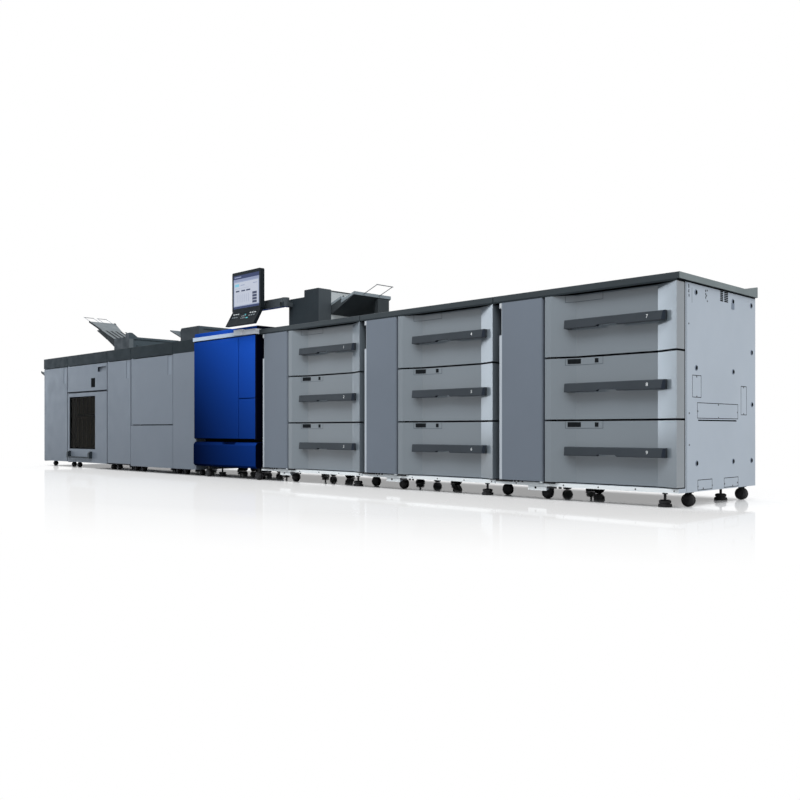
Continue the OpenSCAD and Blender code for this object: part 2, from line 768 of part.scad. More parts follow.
// Pull handle under the window: two blocks and a bar
module stacker_handle() {
    z0 = window_z - 80;
    x0 = window_x;
    l = window_w - 57;
    end_w = 30;
    color("dimgray") in_row() {
        for (x = [x0, x0 + l - end_w]) along_x(x, end_w)
            polygon([[-front_relief, z0], [-front_relief - 28, z0], [-front_relief - 28, z0 + 46],
                [-front_relief - 14, z0 + 60], [-front_relief, z0 + 60]]);
        block([x0 + 20, -front_relief - 28, z0], [x0 + l - 20, -front_relief - 16, z0 + 12]);
    }
}

module folder_cabinet() {
    color("lightsteelblue") in_row() {
        plain_cabinet(folder_x, folder_w);
        hinge_pair(folder_x + door_inset, door_w(folder_w), panel_z, panel_top, front_relief);
    }
}

module folder_door() {
    color("slategray") in_row() strip_door(folder_x, folder_w, panel_z, panel_top);
}

punch_door_z = punch_seam_z + hinge_plate_t / 2 + seat_gap;

module punch_cabinet() {
    color("lightsteelblue") in_row() {
        plain_cabinet(punch_x, punch_w);
        hinge_pair(punch_x + door_inset, door_w(punch_w), punch_door_z, panel_top, front_relief);
    }
}

module punch_door() {
    color("slategray") in_row() strip_door(punch_x, punch_w, punch_door_z, panel_top);
}

module punch_base_panel() {
    color("slategray") in_row()
        block([punch_x, -front_relief, skirt_z], [punch_x + punch_w, 0, punch_seam_z - hinge_plate_t]);
}

module relay_cabinet() {
    color("slategray") in_row() {
        plain_cabinet(relay_x, relay_w);
        block([relay_x, -front_relief, skirt_z], [relay_x + relay_w, 1, band_z - 1]);
    }
}

// Dark top cover of each unit: a front band and a flat top in one piece
module top_covers() {
    color("darkslategray") in_row() for (u = [0:len(UNITS) - 1])
        along_x(unit_x[u], unit_w[u]) polygon([[-front_relief, band_z], [-front_relief, band_top - 3],
            [-front_relief + 3, band_top], [body_d, band_top], [body_d, band_top - 20],
            [0, band_top - 20], [0, band_z]]);
}

// ---- Output trays ----------------------------------------------------------

block_x = stacker_x + 404;
block_w = 275;
block_y = 172;
block_z = 1158;
top_tray_l = 501;
top_tray_z = 1146;

// Block that feeds the top tray, with a raised guard at its front right corner
module output_block() {
    x1 = block_x + block_w;
    color("darkslategray") in_row() {
        difference() {
            block([block_x, block_y, band_top], [x1, body_d - 58, block_z]);
            // slot along the right side, and the chamfer over it
            block([x1 - 8, block_y + 42, block_z - 32], [x1 + 1, body_d - 130, block_z - 20]);
            along_y(block_y + 80, body_d)
                polygon([[x1 - 5, block_z + 1], [x1 + 1, block_z + 1], [x1 + 1, block_z - 5]]);
        }
        along_x(x1 - 64, 64) polygon([[block_y, block_z - 1], [block_y, block_z + 30],
            [block_y + 6, block_z + 35], [block_y + 30, block_z + 35], [block_y + 84, block_z - 1]]);
        // knob
        translate([x1 - 1, block_y + 80, block_z - 76]) rotate([0, 90, 0]) {
            cylinder(r = 11, h = 5);
            cylinder(r = 8, h = 12);
        }
    }
}

// A tray plate that slopes up to the left from a wall at x, its root's lower edge at z, with
// ribs under it and low lips along the outer half of its sides. l is its horizontal reach.
module sloped_tray(x, z, l, y0, w, t, ribs = 4, rib_h = 10) {
    reach = l * 0.62;
    rise = tan(tray_slope);
    translate([x, 0, z]) {
        along_y(y0, w) sloped_band(0, l, 0, t);
        for (i = [0:ribs - 1]) along_y(y0 + (w - 12) * i / (ribs - 1), 12)
            polygon([[0, -rib_h], [0, 1], [-reach, 1 + reach * rise], [-reach, -4 + reach * rise],
                [-reach * 0.4, -rib_h + reach * 0.4 * rise]]);
        for (y = [y0, y0 + w - 6]) along_y(y, 6) sloped_band(l * 0.5, l, t - 1, 7);
    }
}

// The narrower plate under the top tray, on four deep fins
module under_tray(x, z, l, y0, w) {
    rise = tan(tray_slope);
    translate([x, 0, z]) {
        along_y(y0, w) sloped_band(0, l, -5, 5);
        for (i = [0:3]) along_y(y0 + (w - 10) * i / 3, 10)
            polygon([[0, -44], [0, -4], [-l, -4 + l * rise], [-l, -9 + l * rise],
                [-l * 0.36, -27 + l * 0.36 * rise]]);
    }
}

// X-Z outline of a band that rises to the left at the trays' slope, from x = -a to x = -b,
// its lower edge z above the slope line and h high
module sloped_band(a, b, z, h) {
    rise = tan(tray_slope);
    polygon([[-a, z + a * rise], [-a, z + h + a * rise], [-b, z + h + b * rise], [-b, z + b * rise]]);
}

side_tray_z = 722;
top_tray_t = 11;
side_tray_t = 13;

module output_trays() {
    color("slategray") in_row() {
        difference() {
            sloped_tray(block_x, top_tray_z, top_tray_l, block_y, tray_w, top_tray_t, 6, 26);
            // the rear edge runs in towards the root
            translate([0, 0, top_tray_z - 50]) linear_extrude(400)
                polygon([[block_x + 1, block_y + tray_w * 0.56],
                    [block_x - top_tray_l * 0.98, block_y + tray_w + 1], [block_x + 1, block_y + tray_w + 1]]);
        }
        under_tray(block_x, top_tray_z - 16, 330, block_y, 146);
        sloped_tray(finisher_x, side_tray_z, side_reach, 90, tray_w + 70, side_tray_t);
    }
}

// A wire bow that lengthens a tray: two legs l long and a cross bar w long, its feet at a
// vertical wall that the legs leave at the given slope
module wire_bow(l, w, slope) {
    foot = wire_r * tan(slope) + 0.1;
    for (y = [0, w]) translate([-foot * cos(slope), y, foot * sin(slope)])
        rotate([0, slope - 90, 0]) cylinder(r = wire_r, h = l);
    translate([-(l + foot) * cos(slope), -wire_r * 2, (l + foot) * sin(slope)])
        rotate([-90, 0, 0]) cylinder(r = wire_r * 1.2, h = w + wire_r * 4);
}

wire_r = 2.5;

module tray_wires() {
    tip_z = top_tray_z + top_tray_l * tan(tray_slope) + top_tray_t / 2;
    color("silver") in_row() {
        for (y = [20, tray_w / 2 + 20])
            translate([block_x - top_tray_l, block_y + y, tip_z])
                wire_bow(150, tray_w / 2 - 40, tray_slope);
        translate([feed_x0 + feed_l, feed_y0 + 80, feed_z0 + 6 + feed_l * tan(feed_rise)])
            mirror([1, 0, 0]) wire_bow(132, 135, feed_rise);
    }
}

relay_block_x = punch_x + 349;
relay_block_w = 271;
relay_block_z = 1157;

// Block on the punch unit that hands sheets over, with a small sloped tray on its left
module relay_block() {
    x1 = relay_block_x + relay_block_w;
    color("darkslategray") in_row() {
        difference() {
            along_y(block_y, body_d - 60 - block_y) polygon([[relay_block_x, band_top],
                [relay_block_x, relay_block_z - 14], [relay_block_x + 14, relay_block_z],
                [x1, relay_block_z], [x1, band_top]]);
            // slot along the right side
            block([x1 - 8, block_y + 44, relay_block_z - 32], [x1 + 1, body_d - 130, relay_block_z - 20]);
        }
        translate([relay_block_x, 0, relay_block_z - 84]) {
            along_y(block_y + 20, 190) sloped_band(0, 198, 0, 8);
            for (y = [block_y + 80, block_y + 204]) along_y(y, 6)
                polygon([[0, 7], [0, 76], [-40, 78], [-150, 8 + 150 * tan(tray_slope)]]);
        }
    }
}

// ---- Floor supports --------------------------------------------------------

// One twin-wheel caster at (x, y) under a cabinet whose underside is at height top, rolling along the row
module caster(x, y, top = case_z, d = wheel_d) {
    r = d / 2;
    translate([x, y, 0]) {
        for (s = [-1, 1]) translate([0, s * 2.5, r]) rotate([-s * 90, 0, 0]) rotate_extrude()
            polygon([[0, 0], [r, 0], [r, 8], [r - 4, 13], [r * 0.6, 17], [0, 17]]);
        block([-r / 2, -3, r - 10], [r / 2, 3, top]);
        block([-20, -11, top - 4], [20, 11, top]);
    }
}

// One levelling foot: a two-stage pad on the floor, a lock nut and a rod up to the cabinet
module levelling_foot(x, y, top = case_z) {
    r = pad_d / 2;
    translate([x, y, 0]) {
        rotate_extrude() polygon([[0, 0], [r, 0], [r, 10], [r - 3, 14], [r - 7, 14], [r - 7, 18],
            [r - 4, 18], [r - 4, 28], [r - 12, 32], [6, 32], [6, top], [0, top]]);
        translate([0, 0, top - 10]) cylinder(r = 13, h = 7, $fn = 6);
    }
}

front_y = 48;
rear_y = body_d - 90;

module casters() {
    color("black") in_row() {
        for (u = [0:len(UNITS) - 1], x = [unit_x[u] + 38, unit_x[u] + unit_w[u] - 72], y = [22, rear_y])
            caster(x, y, case_z, unit_wheel_d);
        // the engine's front casters stand under its base panel
        for (at = [[128, -50], [engine_w - 30, -50], [60, rear_y], [engine_w - 60, rear_y]])
            caster(engine_x + at[0], at[1], case_z + 13);
        for (i = [0:feeders - 1]) {
            caster(feeder_x(i) + feeder_w - 30, front_y + 40);
            caster(feeder_x(i) + feeder_w - 30, rear_y);
            caster(feeder_x(i) + bay_x - 62, 34);
            caster(feeder_x(i) + bay_x - 62, 499);
        }
    }
}

module levelling_feet() {
    color("black") in_row() {
        for (u = [0:len(UNITS) - 1], x = [unit_x[u] + 115, unit_x[u] + unit_w[u] - 130])
            levelling_foot(x, rear_y);
        for (x = [engine_x + 150, engine_x + engine_w - 150], y = [front_y, rear_y])
            levelling_foot(x, y, case_z + 13);
        for (i = [0:feeders - 1]) {
            levelling_foot(feeder_x(i) + 120, rear_y);
            levelling_foot(feeder_x(i) + feeder_w - 94, -2);
            levelling_foot(feeder_x(i) + feeder_w - 88, rear_y - 100);
        }
    }
}

feeder_cabinet(0);  // feeder_cabinet_1
feeder_cabinet(1);  // feeder_cabinet_2
feeder_cabinet(2);  // feeder_cabinet_3
feeder_door(0);  // feeder_door_1
feeder_door(1);  // feeder_door_2
feeder_door(2);  // feeder_door_3
drawer(0, 0);  // drawer_1
drawer(0, 1);  // drawer_2
drawer(0, 2);  // drawer_3
drawer(1, 0);  // drawer_4
drawer(1, 1);  // drawer_5
drawer(1, 2);  // drawer_6
drawer(2, 0);  // drawer_7
drawer(2, 1);  // drawer_8
drawer(2, 2);  // drawer_9
drawer_handle(0, 0);  // drawer_handle_1
drawer_handle(0, 1);  // drawer_handle_2
drawer_handle(0, 2);  // drawer_handle_3
drawer_handle(1, 0);  // drawer_handle_4
drawer_handle(1, 1);  // drawer_handle_5
drawer_handle(1, 2);  // drawer_handle_6
drawer_handle(2, 0);  // drawer_handle_7
drawer_handle(2, 1);  // drawer_handle_8
drawer_handle(2, 2);  // drawer_handle_9
worktops();
engine_cabinet();
engine_left_door();
engine_upper_door();
engine_lower_door();
engine_base_panel();
engine_trim();
engine_top_cover();
panel_pedestal();
panel_arm();
screen_housing();
screen_glass();
key_panel();
manual_feed_unit();
manual_feed_tray();
finisher_cabinet();
finisher_door();
stacker_cabinet();
stacker_cover();
stacker_door();
stacker_window();
stacker_handle();
stacking_platform();
folder_cabinet();
folder_door();
punch_cabinet();
punch_door();
punch_base_panel();
relay_cabinet();
top_covers();
output_block();
output_trays();
tray_wires();
relay_block();
casters();
levelling_feet();
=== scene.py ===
"""Finishes and small fittings of a digital production press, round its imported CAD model."""

import json
import math

import bmesh
import bpy
from bpy.props import FloatProperty, FloatVectorProperty, PointerProperty
from bpy.types import Operator, Panel, PropertyGroup
from mathutils import Matrix, Vector


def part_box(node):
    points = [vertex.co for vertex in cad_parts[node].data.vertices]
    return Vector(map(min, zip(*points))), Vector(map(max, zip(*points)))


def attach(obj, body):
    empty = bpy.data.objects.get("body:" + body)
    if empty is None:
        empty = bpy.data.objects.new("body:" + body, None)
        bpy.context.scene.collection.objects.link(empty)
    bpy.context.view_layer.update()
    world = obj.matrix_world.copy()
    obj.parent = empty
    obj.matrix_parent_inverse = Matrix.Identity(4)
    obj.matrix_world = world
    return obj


bl_info = {
    "name": "Digital production press",
    "version": (1, 0, 0),
    "blender": (4, 5, 0),
    "location": "View3D > Sidebar > Press",
    "description": "Dresses the press: painted panels, trays, screen, fittings and studio",
    "category": "Object",
}

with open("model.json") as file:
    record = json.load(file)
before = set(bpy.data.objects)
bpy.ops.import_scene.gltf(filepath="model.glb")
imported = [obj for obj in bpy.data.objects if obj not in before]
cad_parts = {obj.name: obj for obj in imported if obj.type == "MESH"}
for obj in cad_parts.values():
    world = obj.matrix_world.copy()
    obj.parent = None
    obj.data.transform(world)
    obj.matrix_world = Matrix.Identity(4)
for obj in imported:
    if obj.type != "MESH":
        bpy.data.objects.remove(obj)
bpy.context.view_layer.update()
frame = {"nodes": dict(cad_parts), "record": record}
NODES = frame["nodes"]
BODY_OF = {n: b for b, ns in frame["record"]["behaviour"]["bodies"].items() for n in ns}
SLOT_OF = {s["node"]: s["material_slot"] for s in frame["record"]["subparts"]}
MM = 0.001


# ---- Sizes and colours a user would change ---------------------------------

def paint(name, text, colour):
    """A colour property for a finish, written in linear light."""
    return FloatVectorProperty(
        name=name, description=text, subtype="COLOR", size=3, min=0, max=1, default=linear(*colour)
    )


def linear(r, g, b):
    """Linear light of a display colour given as 0 to 255."""
    return tuple(
        c / 255 / 12.92 if c <= 10 else ((c / 255 + 0.055) / 1.055) ** 2.4 for c in (r, g, b)
    )


class PressPaints(PropertyGroup):
    """Colours of the painted and moulded surfaces."""

    cabinet: paint("Cabinet", "Pale powder coat of the cabinets and side panels", (171, 180, 190))
    door: paint("Door", "Grey paint of the doors", (107, 115, 125))
    drawer: paint("Drawer", "Grey paint of the drawer fronts", (110, 119, 126))
    strip: paint("Pull strip", "Pale paint of the pull strips", (176, 183, 190))
    rail: paint("Rail", "White paint of the base rails", (226, 231, 233))
    handle: paint("Handle", "Dark moulded plastic of the handles", (56, 61, 66))
    top: paint("Top", "Dark moulded plastic of the worktops", (44, 51, 55))
    band: paint("Band", "Darker plastic of the finishing units' top covers", (32, 40, 44))
    plastic: paint("Plastic", "Dark plastic of the operator's panel", (38, 45, 50))
    # blue and navy are the lit and shaded ends of the painted shade and sheen in the engine's paint; a
    # darker navy is the painted shade of its sides
    blue: paint("Blue", "Bright end of the engine's metallic paint", (30, 82, 188))
    navy: paint("Navy", "Deep end of the engine's metallic paint", (4, 12, 38))
    trim: paint("Trim", "Pearl bar over the engine", (226, 230, 236))
    pale: paint("Feed unit", "Pale plastic of the manual feed unit", (176, 181, 182))
    tray: paint("Trays", "Plastic of the output trays", (92, 99, 103))


class PressSizes(PropertyGroup):
    """Sizes of the small fittings."""

    screw: FloatProperty(
        name="Screw", description="Diameter of a panel screw", default=9 * MM, unit="LENGTH"
    )
    numeral: FloatProperty(
        name="Numeral", description="Height of a tray's number", default=22 * MM, unit="LENGTH"
    )
    key: FloatProperty(
        name="Key", description="Width of a key on the key panel", default=11 * MM, unit="LENGTH"
    )
    line: FloatProperty(
        name="Line", description="Width of a label's outline", default=2 * MM, unit="LENGTH"
    )


class PressStudio(PropertyGroup):
    """Camera of the studio."""

    eye: FloatVectorProperty(
        name="Eye", description="Place of the camera", subtype="XYZ", unit="LENGTH", size=3,
        default=(5.2365, -3.792, 0.338),
    )
    turn: FloatProperty(
        name="Turn", description="Turn of the camera about the vertical", subtype="ANGLE",
        default=math.radians(45),
    )
    lens: FloatProperty(name="Lens", description="Focal length in millimetres", default=38.97)
    rise: FloatProperty(name="Rise", description="Upward shift of the lens", default=0.0375)


# ---- Mesh helpers ----------------------------------------------------------

def keep(bm, name, material, body, smooth=True):
    """Turns a bmesh into a piece that rides on a body and takes its finish from a slot."""
    mesh = bpy.data.meshes.new(name)
    bm.normal_update()
    bm.to_mesh(mesh)
    bm.free()
    if smooth:
        mesh.shade_smooth()
    piece = bpy.data.objects.new(name, mesh)
    bpy.context.scene.collection.objects.link(piece)
    mesh.materials.append(material)
    if smooth:
        split = piece.modifiers.new("crisp edges", "EDGE_SPLIT")
        split.split_angle = math.radians(35)
    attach(piece, body)
    return piece


def slab(bm, a, b, round_by=0.0):
    """Adds a box from corner a to corner b, its edges rounded."""
    a, b = Vector(a), Vector(b)
    made = bmesh.ops.create_cube(bm, size=1.0, matrix=(
        Matrix.Translation((a + b) / 2) @ Matrix.Diagonal((*(b - a), 1.0))))
    if round_by:
        edges = {e for v in made["verts"] for e in v.link_edges}
        bmesh.ops.bevel(bm, geom=list(edges), offset=round_by, segments=2, affect="EDGES")


def disc(bm, centre, axis, r, h, r_top=None, sides=20):
    """Adds a short round boss on centre that stands h along axis."""
    turn = Vector((0, 0, 1)).rotation_difference(Vector(axis)).to_matrix().to_4x4()
    place = Matrix.Translation(Vector(centre) + Vector(axis) * h / 2) @ turn
    bmesh.ops.create_cone(
        bm, cap_ends=True, segments=sides, radius1=r, radius2=r if r_top is None else r_top,
        depth=h, matrix=place,
    )


def outline(bm, a, b, line, proud, face="front"):
    """Adds a thin raised frame between two corners of a rectangle on a front or side face."""
    if face == "front":
        (x0, z0), (x1, z1), y = (a[0], a[2]), (b[0], b[2]), a[1]
        for p, q in (((x0, z0), (x1, z0 + line)), ((x0, z1 - line), (x1, z1)),
                     ((x0, z0 + line), (x0 + line, z1 - line)),
                     ((x1 - line, z0 + line), (x1, z1 - line))):
            slab(bm, (p[0], y - proud, p[1]), (q[0], y, q[1]))
    else:
        (y0, z0), (y1, z1), x = (a[1], a[2]), (b[1], b[2]), a[0]
        for p, q in (((y0, z0), (y1, z0 + line)), ((y0, z1 - line), (y1, z1)),
                     ((y0, z0 + line), (y0 + line, z1 - line)),
                     ((y1 - line, z0 + line), (y1, z1 - line))):
            slab(bm, (x, p[0], p[1]), (x + proud, q[0], q[1]))


def prism(bm, outline_xy, z0, z1):
    """Adds an upright prism on an outline of X and Y places, listed anticlockwise."""
    low = [bm.verts.new((x, y, z0)) for x, y in outline_xy]
    high = [bm.verts.new((x, y, z1)) for x, y in outline_xy]
    bm.faces.new(low[::-1])
    bm.faces.new(high)
    for i in range(len(low)):
        j = (i + 1) % len(low)
        bm.faces.new((low[i], low[j], high[j], high[i]))


def skin(bm, path, z0, z1, proud):
    """Adds a thin sheet that follows a path of X and Y places along a front, from left to right."""
    front = []
    for i, (x, y) in enumerate(path):
        a, b = path[max(i - 1, 0)], path[min(i + 1, len(path) - 1)]
        way = Vector((b[0] - a[0], b[1] - a[1])).normalized()
        front.append((x + way.y * proud, y - way.x * proud))
    prism(bm, front + path[::-1], z0, z1)


# ---- Finishes --------------------------------------------------------------

class Nodes:
    """Short calls for a material's node tree."""

    def __init__(self, name):
        self.material = bpy.data.materials.new(name)
        self.material.use_nodes = True
        self.tree = self.material.node_tree
        self.tree.nodes.clear()
        self.out = self.add("ShaderNodeOutputMaterial")
        self.place = self.add("ShaderNodeTexCoord").outputs["Object"]

    def add(self, kind, **settings):
        node = self.tree.nodes.new(kind)
        for key, value in settings.items():
            setattr(node, key, value)
        return node

    def link(self, a, b):
        self.tree.links.new(a, b)

    def shader(self, **sockets):
        """The main shader, linked to the output, with constants set on its own sockets."""
        node = self.add("ShaderNodeBsdfPrincipled")
        for key, value in sockets.items():
            node.inputs[key.replace("_", " ")].default_value = value
        self.link(node.outputs[0], self.out.inputs["Surface"])
        return node

    def noise(self, scale, detail=2.0, stretch=None):
        """Noise in the piece's own space, stretched along an axis if asked."""
        node = self.add("ShaderNodeTexNoise")
        node.inputs["Scale"].default_value = scale
        node.inputs["Detail"].default_value = detail
        source = self.place
        if stretch:
            mapping = self.add("ShaderNodeMapping")
            mapping.inputs["Scale"].default_value = stretch
            self.link(source, mapping.inputs["Vector"])
            source = mapping.outputs[0]
        self.link(source, node.inputs["Vector"])
        return node.outputs["Fac"]

    def ramp(self, fac, stops):
        """Colours by a value, stops as (place, colour)."""
        node = self.add("ShaderNodeValToRGB")
        while len(node.color_ramp.elements) < len(stops):
            node.color_ramp.elements.new(0.5)
        for element, (at, colour) in zip(node.color_ramp.elements, stops):
            element.position = at
            element.color = (*colour, 1)
        self.link(fac, node.inputs["Fac"])
        return node.outputs["Color"]

    def span(self, fac, low, high, lo_in=0.3, hi_in=0.7):
        """Maps a value between lo_in and hi_in to the span low to high."""
        node = self.add("ShaderNodeMapRange")
        for key, value in (("From Min", lo_in), ("From Max", hi_in), ("To Min", low), ("To Max", high)):
            node.inputs[key].default_value = value
        self.link(fac, node.inputs["Value"])
        return node.outputs["Result"]

    def bump(self, height, strength, distance, shader):
        node = self.add("ShaderNodeBump")
        node.inputs["Strength"].default_value = strength
        node.inputs["Distance"].default_value = distance
        self.link(height, node.inputs["Height"])
        self.link(node.outputs["Normal"], shader.inputs["Normal"])


def shade(colour, by):
    """The colour made lighter or darker."""
    return tuple(min(1.0, c * by) for c in colour)


def powder_coat(name, colour, rough=0.42, spread=0.04, coat=0.0, coat_rough=0.35, gloss=0.2):
    """Satin paint with a fine orange-peel skin and slight hand polish."""
    m = Nodes(name)
    s = m.shader(IOR=1.46, Metallic=0.0)
    s.inputs["Specular IOR Level"].default_value = gloss
    s.inputs["Coat Weight"].default_value = coat
    s.inputs["Coat Roughness"].default_value = coat_rough
    m.link(m.ramp(m.noise(2.2, 4), [(0.3, shade(colour, 1 - spread)), (0.7, shade(colour, 1 + spread))]),
           s.inputs["Base Color"])
    m.link(m.span(m.noise(9, 5), rough - 0.06, rough + 0.08), s.inputs["Roughness"])
    m.bump(m.noise(620, 1), 0.18, 0.0004, s)
    return m.material


def moulded(name, colour, rough=0.5, grain=900.0, depth=0.35, gloss=0.08, ior=1.49):
    """Moulded plastic: a fine pebbled grain and worn, shinier patches."""
    m = Nodes(name)
    s = m.shader(IOR=ior)
    s.inputs["Specular IOR Level"].default_value = gloss
    m.link(m.ramp(m.noise(5, 4), [(0.3, shade(colour, 0.9)), (0.7, shade(colour, 1.1))]),
           s.inputs["Base Color"])
    m.link(m.span(m.noise(14, 4), rough - 0.1, rough + 0.08), s.inputs["Roughness"])
    pebbles = m.add("ShaderNodeTexVoronoi", feature="SMOOTH_F1")
    pebbles.inputs["Scale"].default_value = grain
    m.link(m.place, pebbles.inputs["Vector"])
    m.bump(pebbles.outputs["Distance"], depth, 0.0003, s)
    return m.material


def metallic_blue(name, low, high, x0, x1, z0, z1):
    """Flake paint whose colour holds painted shade and sheen in place of reflections: it runs from navy low
    on the left to bright blue high on the right.
    """
    m = Nodes(name)
    s = m.shader(Metallic=0.0, Roughness=0.3, IOR=1.5)
    s.inputs["Specular IOR Level"].default_value = 0.0
    split = m.add("ShaderNodeSeparateXYZ")
    m.link(m.place, split.inputs[0])
    along = m.span(split.outputs["X"], 0.0, 1.0, x0, x1)
    up = m.span(split.outputs["Z"], 0.0, 1.0, z0, z1)

    def blend(a, by, b):
        node = m.add("ShaderNodeMath", operation="MULTIPLY_ADD")
        m.link(a, node.inputs[0])
        for socket, value in ((node.inputs[1], by), (node.inputs[2], b)):
            if isinstance(value, float):
                socket.default_value = value
            else:
                m.link(value, socket)
        return node.outputs[0]

    # painted shade and sheen: darker low and on the left, brighter high and on the right
    rising = blend(along, 0.35, blend(up, 0.4, 0.0))
    total = blend(rising, up, blend(along, 0.25, 0.0))
    total = blend(m.noise(1500, 0), 0.06, total)
    m.link(m.ramp(total, [(0.03, low), (1.0, high)]), s.inputs["Base Color"])
    m.bump(m.noise(700, 1), 0.06, 0.0003, s)
    return m.material


def bright_metal(name, colour, rough=0.28, brushed=(1, 1, 1), scale=400):
    """Plated or brushed metal with fine lines along its length."""
    m = Nodes(name)
    s = m.shader(Metallic=1.0)
    m.link(m.ramp(m.noise(6, 4), [(0.3, shade(colour, 0.9)), (0.7, shade(colour, 1.06))]),
           s.inputs["Base Color"])
    lines = m.noise(scale, 2, brushed)
    m.link(m.span(lines, rough - 0.06, rough + 0.12), s.inputs["Roughness"])
    m.bump(lines, 0.12, 0.0002, s)
    return m.material


def rubber(name, colour, rough=0.55):
    """Hard rubber, dusty where it has rolled."""
    m = Nodes(name)
    s = m.shader(IOR=1.5)
    s.inputs["Specular IOR Level"].default_value = 0.12
    m.link(m.ramp(m.noise(60, 5), [(0.35, colour), (0.75, shade(colour, 2.2))]), s.inputs["Base Color"])
    m.link(m.span(m.noise(90, 3), rough - 0.1, rough + 0.15), s.inputs["Roughness"])
    m.bump(m.noise(500, 2), 0.2, 0.0004, s)
    return m.material


def smoked_sheet(name, tint, rough=0.04):
    """Smoked clear plastic with the faint ripple of a cast sheet."""
    m = Nodes(name)
    s = m.shader(IOR=1.06, Roughness=rough)
    s.inputs["Specular IOR Level"].default_value = 0.2
    s.inputs["Transmission Weight"].default_value = 1.0
    m.link(m.ramp(m.noise(3, 2), [(0.3, shade(tint, 0.9)), (0.7, shade(tint, 1.1))]), s.inputs["Base Color"])
    m.bump(m.noise(7, 1), 0.03, 0.002, s)
    return m.material


def lit(name, colour):
    """A lit part of a display, with the faint raster of its panel."""
    m = Nodes(name)
    s = m.shader(Roughness=0.25)
    s.inputs["Emission Strength"].default_value = 1.0
    tone = m.ramp(m.noise(180.0, 1), [(0.3, shade(colour, 0.94)), (0.7, colour)])
    s.inputs["Base Color"].default_value = (0.01, 0.01, 0.012, 1)
    s.inputs["Specular IOR Level"].default_value = 0.1
    m.link(tone, s.inputs["Emission Color"])
    return m.material


FINISHES = {}


